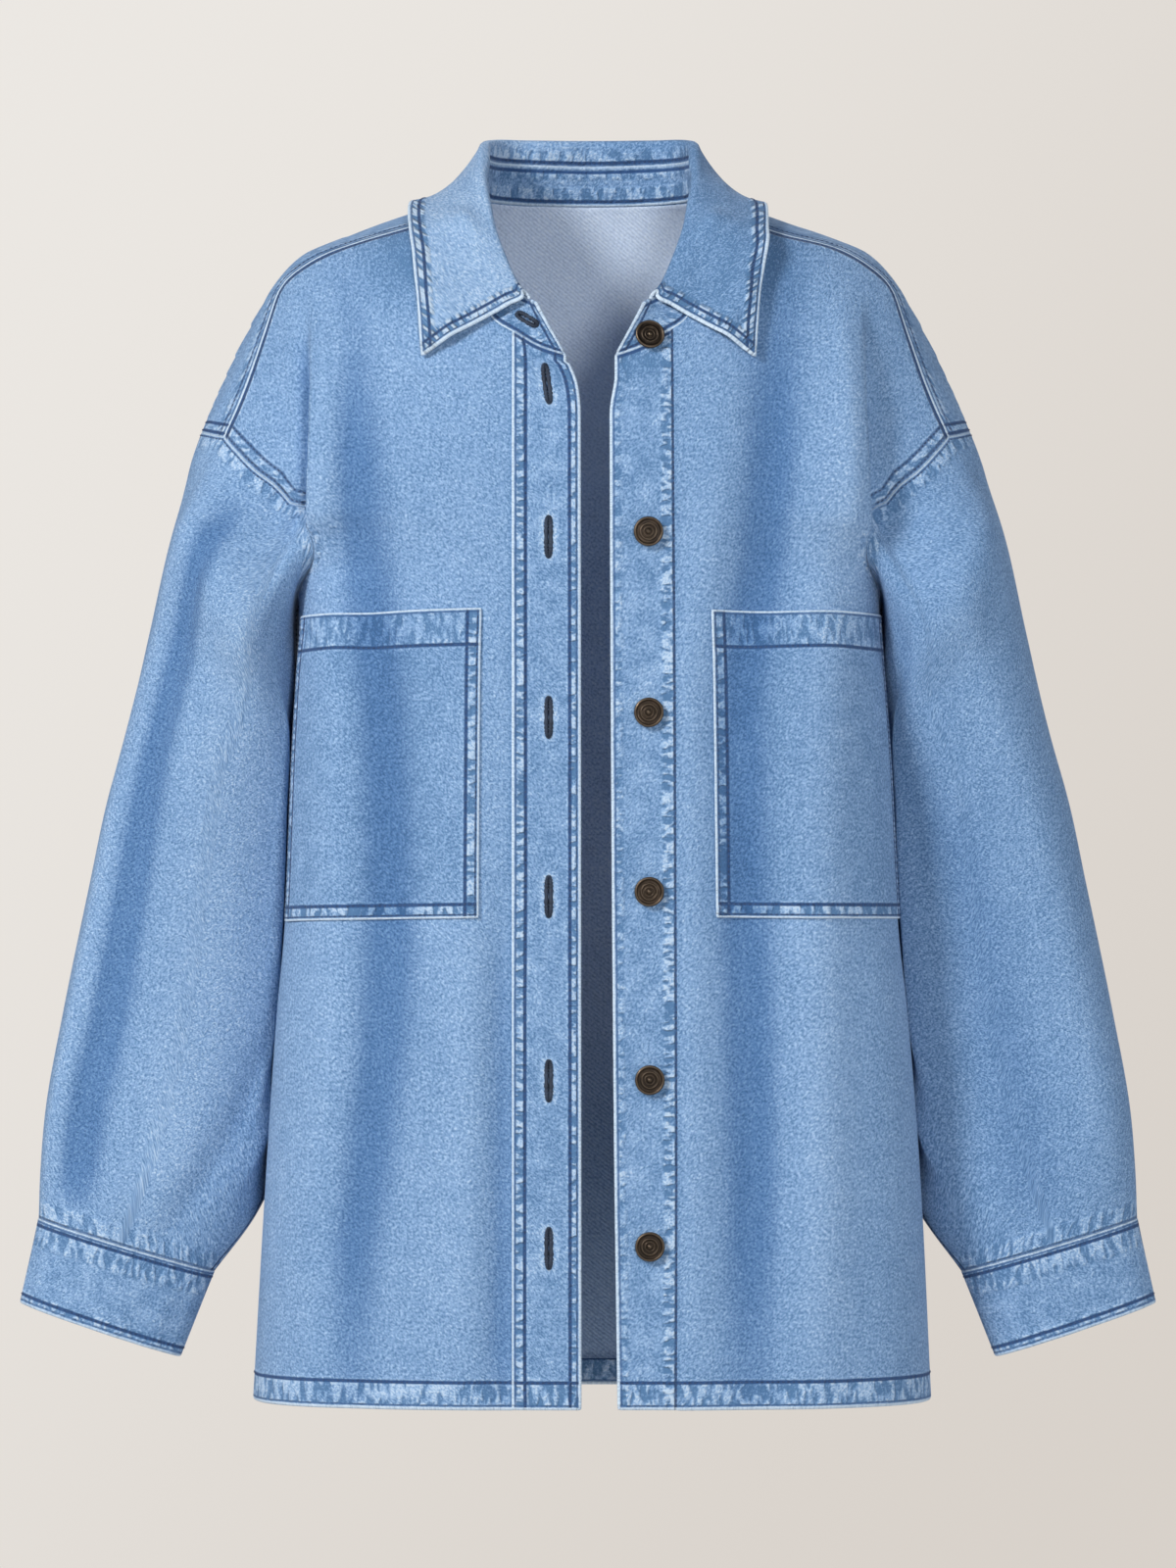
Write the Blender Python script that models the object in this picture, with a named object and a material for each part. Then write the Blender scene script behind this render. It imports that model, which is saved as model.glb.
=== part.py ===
"""A denim shacket, filled out as if worn: panels, sleeves, collar, pockets, plackets and buttons.

Metres, +Z up. +X is the wearer's left, -Y the front. The origin is midway between the
high shoulder points, where a wearer's shoulders hold the garment up.
"""
import math

import bmesh
import bpy
import numpy as np
from mathutils import Vector
from mathutils.bvhtree import BVHTree

# Driving dimensions, in metres
cloth = 0.0015            # one layer of denim
doubled = 0.0024          # two layers, pressed: collar, stand, cuffs, placket
seamGap = 0.0003          # between neighbouring pieces
turnUp = 0.015            # height of the hem's turn-up
hemHeight = -0.7205
underarmHeight = -0.244
sideSeam = math.radians(100)     # round from the centre front
placketOuter = 0.0458     # outer edge of the buttonhole placket, from the centre
placketInner = 0.0505     # stitched edge of the turned-in button placket
placketRaise = 0.0010     # the applied placket stands this far proud of the front
collarLift = 0.0040       # the collar leaf's edge over the cloth it lies on
collarRoll = 0.0036       # radius of the collar's fold
leafClear = 0.0010        # least space under the leaf
sleeveClear = 0.0036      # least space between sleeve and body
armholeGap = 0.0005       # the curved seams' outer edges stand this far apart, so that no part touches
neckGap = 0.0007
leafGap = 0.0009
buttonholeWide = 0.0024
buttonholeLong = 0.0225
buttonholeFromCentre = 0.0250

# The body's sections: height, half width, and where its front, widest point and back lie
bodySections = [
    # z, reach, front, wide, back
    (-0.7205, 0.2040, -0.1000, 0.0030, 0.1010),
    (-0.5820, 0.1955, -0.1000, -0.0120, 0.0990),
    (-0.4900, 0.1890, -0.1000, -0.0190, 0.0975),
    (-0.4340, 0.1840, -0.1000, -0.0200, 0.0970),
    (-0.3400, 0.1800, -0.1000, -0.0200, 0.0985),
    (-0.2440, 0.1755, -0.1000, -0.0180, 0.1020),
    (-0.2250, 0.1765, -0.1000, -0.0120, 0.1035),
    (-0.2050, 0.1920, -0.1000, -0.0060, 0.1050),
    (-0.1860, 0.2260, -0.0990, 0.0000, 0.1060),
    (-0.1620, 0.2430, -0.0980, 0.0040, 0.1060),
    (-0.1380, 0.2355, -0.0950, 0.0050, 0.1040),
    (-0.1010, 0.2200, -0.0880, 0.0050, 0.0990),
    (-0.0690, 0.2040, -0.0770, 0.0050, 0.0920),
    (-0.0440, 0.1880, -0.0660, 0.0050, 0.0840),
    (-0.0300, 0.1735, -0.0580, 0.0050, 0.0780),
    (-0.0200, 0.1500, -0.0520, 0.0060, 0.0730),
    (-0.0050, 0.1075, -0.0400, 0.0080, 0.0640),
    (0.0045, 0.0760, -0.0260, 0.0120, 0.0570),
    (0.0100, 0.0500, -0.0120, 0.0140, 0.0500),
]
squareness = [
    # height, exponent
    (-0.7205, 2.8), (-0.2900, 2.8), (-0.2440, 2.4), (-0.2000, 2.18), (-0.1000, 2.0), (0.0100, 2.0),
]

# Seams drawn on the body: degrees round from the centre front, and height
neckline = [
    (180, 0.0030), (150, 0.0034), (125, 0.0045), (100, 0.0066), (80, 0.0062), (60, 0.0010),
    (45, -0.0060), (32, -0.0180), (24, -0.0360), (20, -0.0580), (16, -0.0755), (12, -0.0835),
    (8, -0.0915), (4, -0.0965),
]
shoulderSeam = [
    (45, -0.0060), (50.5, -0.0160), (62.5, -0.0275), (70, -0.0384), (74.5, -0.0496),
    (71.8, -0.0796), (70.2, -0.1110), (69.5, -0.1410),
]
armholeFront = [
    (100, -0.2440), (86, -0.2375), (70, -0.2260), (58, -0.2080), (53.5, -0.1900), (53.5, -0.1760),
    (56, -0.1640), (61, -0.1530), (69.5, -0.1410),
]
armholeBack = [
    (100, -0.2440), (112, -0.2320), (122, -0.2120), (127, -0.1880), (124, -0.1650),
    (110, -0.1480), (90, -0.1380), (69.5, -0.1410),
]
centreEdges = {    # height, distance of the front edge from the centre
    -1: [(-0.7205, 0.0067), (-0.1300, 0.0072), (-0.1160, 0.0085), (-0.0965, 0.0157)],
    1: [(-0.7205, 0.0168), (-0.5500, 0.0145), (-0.2500, 0.0128), (-0.1190, 0.0126), (-0.0965, 0.0157)],
}

# The left side sits a little differently from the right: part of x added at each height
leftLean = [
    # height, part of x
    (-0.7205, 0.008), (-0.5820, 0.014), (-0.4340, 0.004), (-0.3000, -0.006), (-0.2000, -0.018),
    (-0.1380, -0.025), (-0.0440, -0.032), (-0.0050, -0.034), (0.0450, -0.026),
]
leftSleeveShift = -0.0035

# The largest folds: side, face, half width of the fold, how far it stands out, then x at each height
folds = [
    (-1, "front", 0.010, 0.0035, [(-0.240, 0.162), (-0.170, 0.159), (-0.070, 0.156)]),
    (-1, "front", 0.004, -0.0040, [(-0.212, 0.1765), (-0.160, 0.1755), (-0.090, 0.1750)]),
    (1, "front", 0.010, 0.0035, [(-0.240, 0.162), (-0.170, 0.159), (-0.070, 0.156)]),
    (-1, "front", 0.014, 0.0025, [(-0.700, 0.163), (-0.571, 0.158), (-0.400, 0.151), (-0.250, 0.151)]),
    (-1, "front", 0.020, -0.0060,
     [(-0.700, 0.139), (-0.629, 0.139), (-0.571, 0.132), (-0.400, 0.121), (-0.212, 0.125), (-0.080, 0.146)]),
    (-1, "front", 0.017, 0.0035, [(-0.690, 0.079), (-0.571, 0.074), (-0.455, 0.071), (-0.280, 0.080)]),
    (-1, "front", 0.008, -0.0030, [(-0.720, 0.054), (-0.440, 0.055)]),
    (1, "front", 0.020, -0.0060,
     [(-0.700, 0.094), (-0.571, 0.095), (-0.305, 0.089), (-0.212, 0.106), (-0.061, 0.118)]),
    (1, "front", 0.014, 0.0030, [(-0.700, 0.060), (-0.305, 0.060), (-0.212, 0.070), (-0.154, 0.080)]),
    (1, "front", 0.018, 0.0035, [(-0.690, 0.135), (-0.400, 0.135), (-0.130, 0.150)]),
    (-1, "back", 0.022, -0.005, [(-0.700, 0.120), (-0.400, 0.110), (-0.140, 0.130)]),
    (1, "back", 0.022, -0.005, [(-0.700, 0.105), (-0.400, 0.116), (-0.140, 0.128)]),
    (-1, "back", 0.025, 0.004, [(-0.700, 0.060), (-0.400, 0.056), (-0.200, 0.060)]),
    (1, "back", 0.025, 0.004, [(-0.700, 0.050), (-0.400, 0.060), (-0.200, 0.064)]),
]

# The drop where the chest's cloth lies over the sleeve: how deep and wide, its line, and where it fades
chestStep = {"deep": 0.011, "wide": 0.006, "path": [(-0.240, 0.1735), (-0.180, 0.1715), (-0.100, 0.1700)],
             "from": -0.228, "full": -0.205, "fading": -0.125, "to": -0.055}

# The collar's lines, from the centre back (0) round to the front end (1)
standTop = [
    # round, x, y, z
    (0.000, 0.0000, 0.0535, 0.0255), (0.170, 0.0435, 0.0460, 0.0262), (0.250, 0.0585, 0.0340, 0.0265),
    (0.344, 0.0645, 0.0130, 0.0262), (0.494, 0.0665, -0.0170, 0.0120), (0.648, 0.0620, -0.0460, -0.0185),
    (0.824, 0.0476, -0.0665, -0.0550), (1.000, 0.0335, -0.0790, -0.0655),
]
leafRise = [    # round, how far the fold stands above the stand
    (0.000, 0.0160), (0.250, 0.0145), (0.344, 0.0120), (0.494, 0.0080), (0.700, 0.0066), (1.000, 0.0060),
]
leafEdge = [    # where the leaf's edge lies on the body: degrees round from the centre front, height
    (180, -0.0200), (160, -0.0210), (146, -0.0180), (126, -0.0090), (105, -0.0038), (90, -0.0035),
    (70, -0.0068), (56, -0.0125), (45.3, -0.0200), (36.4, -0.0330), (32.2, -0.0528), (29.2, -0.0760),
    (27.2, -0.0966),
]
leafSettles = 6           # rounds of settling the leaf on what lies under it
leafEnd = 0.955           # where the leaf starts on the stand, round from the centre back
standParts = (0.0, 0.44, 0.56, 1.0)     # heights of the stand's rows, with the slit's two edges
standSlit = (0.885, 0.955)              # ends of the slit in the stand, round from the centre back
standButton = 0.925       # round from the centre back, and its height as a part of the stand's
standButtonHeight = 0.12
facingParts = np.array([0.0, 0.5, 1.0])

# The sleeve's rings: its outer and inner edge, its centre's depth and half its depth
sleeveRings = [
    # outerX, outerZ, innerX, innerZ, y, halfDepth
    (0.2495, -0.1870, 0.1750, -0.2810, 0.0100, 0.0780),
    (0.2673, -0.2595, 0.1640, -0.3350, 0.0150, 0.0730),
    (0.2819, -0.3210, 0.1580, -0.3820, 0.0170, 0.0680),
    (0.2937, -0.3630, 0.1560, -0.4150, 0.0180, 0.0640),
    (0.3037, -0.4100, 0.1570, -0.4520, 0.0180, 0.0590),
    (0.3202, -0.4900, 0.1630, -0.5230, 0.0160, 0.0510),
    (0.3301, -0.5450, 0.1780, -0.5720, 0.0130, 0.0440),
    (0.3335, -0.5850, 0.2030, -0.6120, 0.0100, 0.0350),
    (0.3345, -0.6140, 0.2280, -0.6460, 0.0080, 0.0260),
]
# how far the sleeve's inner edge lies behind its outer one at each ring, and how square it is there
sleeveTucks = (0.009, 0.024, 0.034, 0.036, 0.036, 0.032, 0.022, 0.008, 0.000)
sleeveSquare = (2.6, 3.0, 3.4, 3.4, 3.4, 3.0, 2.6, 2.2, 2.0)
capFirm = 0.020           # how far the sleeve carries on the shoulder's slope below its seam
underFirm = 0.004         # and how it folds over the underarm seam: up, then out
underOut = 0.005
cuffEnd = (0.3454, -0.6640, 0.2481, -0.6967, 0.0080, 0.0225)

# Rows of the panels below the underarm: height at the centre and at the side seam
pocketRows = {-1: ((-0.4292, -0.4344), (-0.2470, -0.2531)), 1: ((-0.4292, -0.4318), (-0.2482, -0.2510))}
turnUpStep = 0.0006       # the turn-up's inner edge steps in over this height
turnUpRows = 2            # rows of a panel that its turn-up takes
pocketMiddle = -0.34      # height at which the columns are set out
plainRowsBelow = [-0.660, -0.600, -0.540, -0.485]
plainRowsBeside = [-0.385, -0.340, -0.295]
armPace = 0.65            # under 1, the rows climb faster round the armhole than up the centre
fanRows = {False: (7, 5), True: (9, 4)}    # rows up to the neckline and past it, of a front and the back
foldSteps = 4              # steps of the collar's roll
pocketInner = {-1: 20.7, 1: 22.9}      # degrees round from the centre front
pocketOuter = {-1: 73.6, 1: 79.0}
columnsAcrossPocket = 4

buttonHeights = [-0.2016, -0.3086, -0.4147, -0.5261, -0.6247]
buttonFromCentre = 0.0345
buttonSides = 18
standButtonLift = 0.0009  # clear of the stand's curve
frontButtonLift = 0.0006
buttonProfile = [    # radius, height over the cloth
    (0.0042, 0.0000), (0.0034, 0.0016), (0.0070, 0.0020), (0.0087, 0.0029), (0.0087, 0.0040),
    (0.0076, 0.0046), (0.0062, 0.0040), (0.0030, 0.0042),
]
buttonholeHeights = [-0.1137, -0.2047, -0.3115, -0.4176, -0.5266, -0.6258]

colours = {"denim": (0.20, 0.33, 0.56), "inside": (0.35, 0.42, 0.52), "brass": (0.42, 0.30, 0.18)}


# ---- Curves and tables

def ease(knots, values):
    """A smooth curve through the values, without overshoot, as a function of the knots."""
    knots = np.array(knots, float)
    values = np.array(values, float)
    steps = np.diff(knots)
    slopes = np.diff(values) / steps
    tangents = np.zeros(len(knots))
    for i in range(1, len(knots) - 1):
        if slopes[i - 1] * slopes[i] > 0:
            tangents[i] = 2 * slopes[i - 1] * slopes[i] / (slopes[i - 1] + slopes[i])
    tangents[0] = slopes[0]
    tangents[-1] = slopes[-1]

    def at(place):
        place = np.clip(place, knots[0], knots[-1])
        i = np.clip(np.searchsorted(knots, place) - 1, 0, len(steps) - 1)
        t = (place - knots[i]) / steps[i]
        a = values[i] * (1 + 2 * t) * (1 - t) ** 2 + values[i + 1] * t * t * (3 - 2 * t)
        b = steps[i] * (tangents[i] * t * (1 - t) ** 2 - tangents[i + 1] * t * t * (1 - t))
        return a + b
    return at


def column(rows, index):
    return [row[index] for row in rows]


def through(rows):
    """A path through rows of (turn in degrees, height), as a function of its length from 0 to 1."""
    turns = np.radians(column(rows, 0))
    heights = np.array(column(rows, 1))
    places = form(heights, turns)
    lengths = np.concatenate([[0], np.cumsum(np.linalg.norm(np.diff(places, axis=0), axis=1))])
    lengths = lengths / lengths[-1]
    return ease(lengths, heights), ease(lengths, turns)


# ---- The body's form

reachAt, frontAt, wideAt, backAt = [
    ease(column(bodySections, 0), column(bodySections, i)) for i in (1, 2, 3, 4)]
exponentAt = ease(column(squareness, 0), column(squareness, 1))
leanAt = ease(column(leftLean, 0), column(leftLean, 1))


def form(height, turn):
    """The body's outer form at a height, at an angle round from the centre front to the centre back."""
    height, turn = np.broadcast_arrays(np.asarray(height, float), np.asarray(turn, float))
    power = exponentAt(height)
    across = np.sin(turn)
    along = np.cos(turn)
    size = (np.abs(across) ** power + np.abs(along) ** power) ** (-1 / power)
    wide = wideAt(height)
    depth = np.where(along > 0, wide - frontAt(height), backAt(height) - wide)
    return np.stack([reachAt(height) * size * across, wide - depth * size * along, height], axis=-1)


def turnAt(x, height, back=False):
    """The angle round the form where it is x from the centre."""
    power = exponentAt(height)
    part = np.clip(np.abs(x) / reachAt(height), 0, 1)
    rest = (1 - part ** power) ** (1 / power)
    turn = np.arctan2(part, rest)
    return math.pi - turn if back else turn


def foldRise(side, places, turn):
    """How far the folds stand out from the form."""
    x = places[..., 0]
    z = places[..., 2]
    front = turn < math.pi / 2
    rise = np.zeros(x.shape)
    for foldSide, face, width, height, path in folds:
        if foldSide != side:
            continue
        knots = column(path, 0)
        line = ease(knots, column(path, 1))(z)
        ends = 0.25 * (knots[-1] - knots[0])
        opening = np.clip((z - knots[0] + ends / 2) / ends, 0, 1)
        closing = np.clip((knots[-1] + ends / 2 - z) / ends, 0, 1)
        shown = front if face == "front" else ~front
        rise += np.where(shown, height * opening * closing * np.exp(-((x - line) / width) ** 2), 0)
    return rise


def stepRise(places, turn):
    """How far back the cloth drops outward of the chest's fold."""
    x = places[..., 0]
    z = places[..., 2]
    line = np.interp(z, column(chestStep["path"], 0), column(chestStep["path"], 1))
    over = np.clip((x - line) / chestStep["wide"] + 0.5, 0, 1)
    over = over * over * (3 - 2 * over)
    lowFade = np.clip((z - chestStep["from"]) / (chestStep["full"] - chestStep["from"]), 0, 1)
    highFade = np.clip((chestStep["to"] - z) / (chestStep["to"] - chestStep["fading"]), 0, 1)
    beyond = np.clip((0.235 - x) / 0.045, 0, 1)
    return np.where(turn < math.pi / 2, -chestStep["deep"] * over * lowFade * highFade * beyond, 0)


def lean(side, places):
    """Points of the left side moved to where that side really sits."""
    places = places.copy()
    if side > 0:
        places[..., 0] *= 1 + leanAt(places[..., 2])
    return places


def surface(side, height, turn):
    """The outer face of the body's cloth, with its normals."""
    height, turn = np.broadcast_arrays(np.asarray(height, float), np.asarray(turn, float))
    step = 1e-4

    def bare(h, t):
        across = form(h, t + step) - form(h, t - step)
        up = form(h + step, t) - form(h - step, t)
        out = np.cross(across, up)
        return form(h, t), out / np.linalg.norm(out, axis=-1, keepdims=True)

    def folded(h, t):
        place, out = bare(h, t)
        rise = foldRise(side, place, t) + stepRise(place, t)
        return lean(side, place + out * rise[..., None])

    place = folded(height, turn)
    across = folded(height, turn + 10 * step) - folded(height, turn - 10 * step)
    up = folded(height + 10 * step, turn) - folded(height - 10 * step, turn)
    out = np.cross(across, up)
    out = out / np.linalg.norm(out, axis=-1, keepdims=True)
    mirror = np.array([side, 1, 1])
    return place * mirror, out * mirror


# ---- Solids

def unit(vectors):
    return vectors / np.maximum(np.linalg.norm(vectors, axis=-1, keepdims=True), 1e-12)


def material(name):
    found = bpy.data.materials.new(name)
    found.use_nodes = True
    shader = found.node_tree.nodes["Principled BSDF"]
    kind = "brass" if name.startswith("button") else "denim"
    shader.inputs["Base Color"].default_value = (*colours[kind], 1)
    shader.inputs["Roughness"].default_value = 0.4 if kind == "brass" else 0.9
    shader.inputs["Metallic"].default_value = 1.0 if kind == "brass" else 0.0
    return found


def addObject(name, points, faces):
    mesh = bpy.data.meshes.new(name)
    mesh.from_pydata([tuple(p) for p in points], [], faces)
    mesh.validate()
    mesh.update()
    made = bpy.data.objects.new(name, mesh)
    made.data.materials.append(material(name))
    bpy.context.scene.collection.objects.link(made)
    mesh.shade_smooth()
    mesh.set_sharp_from_angle(angle=math.radians(40))
    return made


def halves(quads):
    """Each quad as two triangles, always split along the same diagonal."""
    faces = []
    for a, b, c, d in quads:
        for face in ((a, b, c), (a, c, d)):
            if len(set(face)) == 3:
                faces.append(face)
    return faces


def tucked(points, quad):
    """A rim's quad as two triangles, split so that it dips in and never stands out."""
    corners = [points[i] for i in quad]
    out = np.cross(corners[2] - corners[0], corners[3] - corners[1])
    if (corners[0] + corners[2]) @ out > (corners[1] + corners[3]) @ out:
        quad = quad[1:] + quad[:1]
    return halves([quad])


def wall(name, points, quads, normals, thickness):
    """A closed wall between a sheet's outer face and the same sheet moved in by its thickness."""
    points = np.array(points)
    faces = halves(quads)
    used = sorted({i for face in faces for i in face})
    place = {old: new for new, old in enumerate(used)}
    faces = [tuple(place[i] for i in face) for face in faces]
    points = points[used]
    inward = np.array(normals)[used] * np.broadcast_to(thickness, (len(normals),))[used][:, None]
    count = len(points)
    edges = {(face[i], face[(i + 1) % 3]) for face in faces for i in range(3)}
    points = np.concatenate([points, points - inward])
    rim = []
    for a, b in sorted(edges):
        if (b, a) not in edges:
            rim += tucked(points, (b, a, a + count, b + count))
    backs = [tuple(i + count for i in reversed(face)) for face in faces]
    return addObject(name, points, faces + backs + rim)


def gridQuads(rows, columns, start=0, flip=False, closed=False):
    """The quads of a grid of points, numbered row by row."""
    quads = []
    last = columns if closed else columns - 1
    for i in range(rows - 1):
        for j in range(last):
            k = (j + 1) % columns
            quad = (i * columns + j, i * columns + k, (i + 1) * columns + k, (i + 1) * columns + j)
            quad = tuple(start + q for q in quad)
            quads.append(tuple(reversed(quad)) if flip else quad)
    return quads


# ---- The body panels' nets: rows from hem to shoulder seam, columns from the centre to the side

neckZ, neckT = through(neckline)
seamZ, seamT = through(shoulderSeam)
frontArmZ, frontArmT = through(armholeFront)
backArmZ, backArmT = through(armholeBack)
neckSamples = np.linspace(0, 1, 801)
neckTurns = neckT(neckSamples)
neckAcross = form(neckZ(neckSamples), neckTurns)[:, 0]
shoulderPlace = float(np.interp(-seamT(0.0), -neckTurns, neckSamples))


def neckPlace(x):
    """How far round the neckline, from the centre back, its front is x from the centre."""
    front = neckSamples > shoulderPlace
    return float(np.interp(-x, -neckAcross[front], neckSamples[front]))


def centreEdge(side, height):
    knots = centreEdges[side]
    return float(ease(column(knots, 0), column(knots, 1))(height))


def lowerRows(side):
    bottom, top = pocketRows[side]
    levels = [hemHeight, hemHeight + turnUp, hemHeight + turnUp + turnUpStep]
    rows = [(z, z) for z in levels + plainRowsBelow]
    rows += [bottom] + [(z, z) for z in plainRowsBeside] + [top]
    return rows


def columnParts(side):
    """Where the columns lie between the placket and the side seam, with both edges of the pocket."""
    start = turnAt(placketOuter, pocketMiddle)
    inside = (math.radians(pocketInner[side]) - start) / (sideSeam - start)
    outside = (math.radians(pocketOuter[side]) - start) / (sideSeam - start)
    across = list(np.linspace(inside, outside, columnsAcrossPocket + 1))
    return np.array([0.0] + across + [outside + (1 - outside) * part for part in (0.4, 0.7, 1.0)])


def fanNet(side, edgeX, back=False):
    """Heights and turns of a panel's net, and the row where its centre edge meets the neckline.

    A row starts on the centre edge, or above that on the neckline, and ends on the side seam
    or above that on the armhole. The last row is the shoulder seam.
    """
    armZ, armT = (backArmZ, backArmT) if back else (frontArmZ, frontArmT)
    meet = 0.0 if back else neckPlace(edgeX)
    neckTop = float(neckZ(meet))
    along = np.linspace(meet, shoulderPlace, 200)
    run = form(neckZ(along), neckT(along))
    roundNeck = float(np.sum(np.linalg.norm(np.diff(run, axis=0), axis=1)))
    corner = (neckTop - underarmHeight) / (neckTop - underarmHeight + roundNeck)
    parts = columnParts(side)
    net = []
    for centre, beside in lowerRows(side):
        start = math.pi if back else float(turnAt(edgeX, centre))
        net.append((centre + (beside - centre) * parts, start + (sideSeam - start) * parts))
    rowsToNeck, rowsPastNeck = fanRows[back]
    turning = corner ** armPace
    roundArm = np.concatenate([
        np.linspace(0, turning, rowsToNeck + 1), np.linspace(turning, 1, rowsPastNeck + 1)[1:]])
    seamBulgeZ = seamZ(parts) - (seamZ(0.0) + (seamZ(1.0) - seamZ(0.0)) * parts)
    seamBulgeT = seamT(parts) - (seamT(0.0) + (seamT(1.0) - seamT(0.0)) * parts)
    for t, arm in zip(roundArm ** (1 / armPace), roundArm):
        if t <= corner + 1e-9:
            leftZ = underarmHeight + (neckTop - underarmHeight) * t / corner
            leftT = math.pi if back else float(turnAt(edgeX, leftZ))
        else:
            place = meet + (shoulderPlace - meet) * (t - corner) / (1 - corner)
            leftZ, leftT = float(neckZ(place)), float(neckT(place))
        heights = leftZ + (float(armZ(arm)) - leftZ) * parts + arm ** 3 * seamBulgeZ
        turns = leftT + (float(armT(arm)) - leftT) * parts + arm ** 3 * seamBulgeT
        net.append((heights, turns))
    heights = np.array([row[0] for row in net])
    turns = np.array([row[1] for row in net])
    return heights, turns, len(lowerRows(side)) + rowsToNeck


def edgeNet(side, edgeX, rows, across):
    """Heights and turns of a strip along the front edge, across it by the parts given.

    A row is its height and whether it is the neckline, which the strip's top follows.
    """
    heights = []
    turns = []
    for level, share in rows:
        x0 = centreEdge(side, level)
        x = x0 + (edgeX - x0) * across
        top = np.array([float(neckZ(neckPlace(value))) for value in x])
        height = level + share * (top - float(neckZ(neckPlace(edgeX))))
        heights.append(height)
        turns.append(np.array([float(turnAt(value, h)) for value, h in zip(x, height)]))
    return np.array(heights), np.array(turns)


def across(seam, beside):
    """From each point of a seam, square to it, toward the row of points beside it."""
    along = unit(np.gradient(seam, axis=0))
    reach = beside - seam
    return unit(reach - along * np.sum(reach * along, axis=1, keepdims=True))


def inset(places, seamRows):
    """A panel's net with its shoulder seam and its side seam moved in by half a seam gap."""
    moved = places.copy()
    sideRows = slice(0, seamRows)
    moved[sideRows, -1] += across(places[sideRows, -1], places[sideRows, -2]) * seamGap / 2
    moved[-1] += across(places[-1], places[-2]) * seamGap / 2
    return moved


def panelThickness(heights):
    return np.where(heights < hemHeight + turnUp + turnUpStep / 2, 2 * cloth, cloth).ravel()


# ---- Body panels, plackets and pockets

def makeFront(side, name, pocketName):
    edgeX = placketOuter + seamGap if side < 0 else placketInner
    heights, turns, corner = fanNet(side, edgeX)
    places, normals = surface(side, heights, turns)
    shown = inset(places, len(lowerRows(side)) + 1)
    rows, columns = heights.shape
    quads = gridQuads(rows, columns, flip=side < 0)
    points = shown.reshape(-1, 3)
    outward = normals.reshape(-1, 3)
    thickness = panelThickness(heights)
    first = len(lowerRows(side))
    if side > 0:
        rise = heights[corner, 0] - underarmHeight
        levels = [(z, max(0.0, (z - underarmHeight) / rise)) for z in heights[:corner + 1, 0]]
        stripZ, stripT = edgeNet(side, edgeX, levels, facingParts)
        strip, stripOut = surface(side, stripZ, stripT)
        start = len(points)
        points = np.concatenate([points, strip[:, :-1].reshape(-1, 3)])
        outward = np.concatenate([outward, stripOut[:, :-1].reshape(-1, 3)])
        thickness = np.concatenate([thickness, panelThickness(stripZ[:, :-1])])
        wide = len(facingParts) - 1
        quads += gridQuads(corner + 1, wide, start)
        for i in range(corner):
            a = start + i * wide + wide - 1
            quads.append((a, i * columns, (i + 1) * columns, a + wide))
        turned = (strip - stripOut * (cloth + seamGap))[turnUpRows:]
        turned[0, :, 2] += turnUpStep
        turnedQuads = gridQuads(len(turned), len(facingParts))
        wall("placket_left", turned.reshape(-1, 3), turnedQuads, stripOut[turnUpRows:].reshape(-1, 3), cloth)
        neck = strip[-1, :-1]
    else:
        neck = makeButtonholePlacket(side)
    wall(name, points, quads, outward, thickness)
    levels = lowerRows(side)
    low = levels.index(pocketRows[side][0])
    high = levels.index(pocketRows[side][1])
    patch = (slice(low, high + 1), slice(1, columnsAcrossPocket + 2))
    raised = places[patch] + normals[patch] * (seamGap + cloth)
    patchRows, patchColumns = raised.shape[:2]
    wall(pocketName, raised.reshape(-1, 3), gridQuads(patchRows, patchColumns, flip=side < 0),
         normals[patch].reshape(-1, 3), cloth)
    return {
        "neck": np.concatenate([neck, places[corner:, 0]]), "arm": places[first:, -1],
        "armOut": normals[first:, -1], "under": [(shown, quads[:(rows - 1) * (columns - 1)])],
    }


def makeButtonholePlacket(side):
    """The applied strip with its buttonholes, cut right through."""
    x0 = centreEdge(side, pocketMiddle)
    wide = placketOuter - x0
    slit = [(buttonholeFromCentre + s * buttonholeWide / 2 - x0) / wide for s in (-1, 1)]
    across = np.array([0.0] + slit + [1.0])
    levels = [hemHeight]
    for centre in sorted(buttonholeHeights):
        levels += [centre - buttonholeLong / 2, centre + buttonholeLong / 2]
    rows = [(z, 0.0) for z in levels] + [(float(neckZ(neckPlace(placketOuter))), 1.0)]
    heights, turns = edgeNet(side, placketOuter, rows, across)
    places, normals = surface(side, heights, turns)
    places = places + normals * placketRaise
    count = len(rows)
    quads = gridQuads(count, 4, flip=side < 0)
    holes = {1 + 2 * i for i in range(len(buttonholeHeights))}
    quads = [quad for i, quad in enumerate(quads) if not (i % 3 == 1 and i // 3 in holes)]
    wall("placket_right", places.reshape(-1, 3), quads, normals.reshape(-1, 3), doubled)
    return places[-1, :-1]


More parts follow.
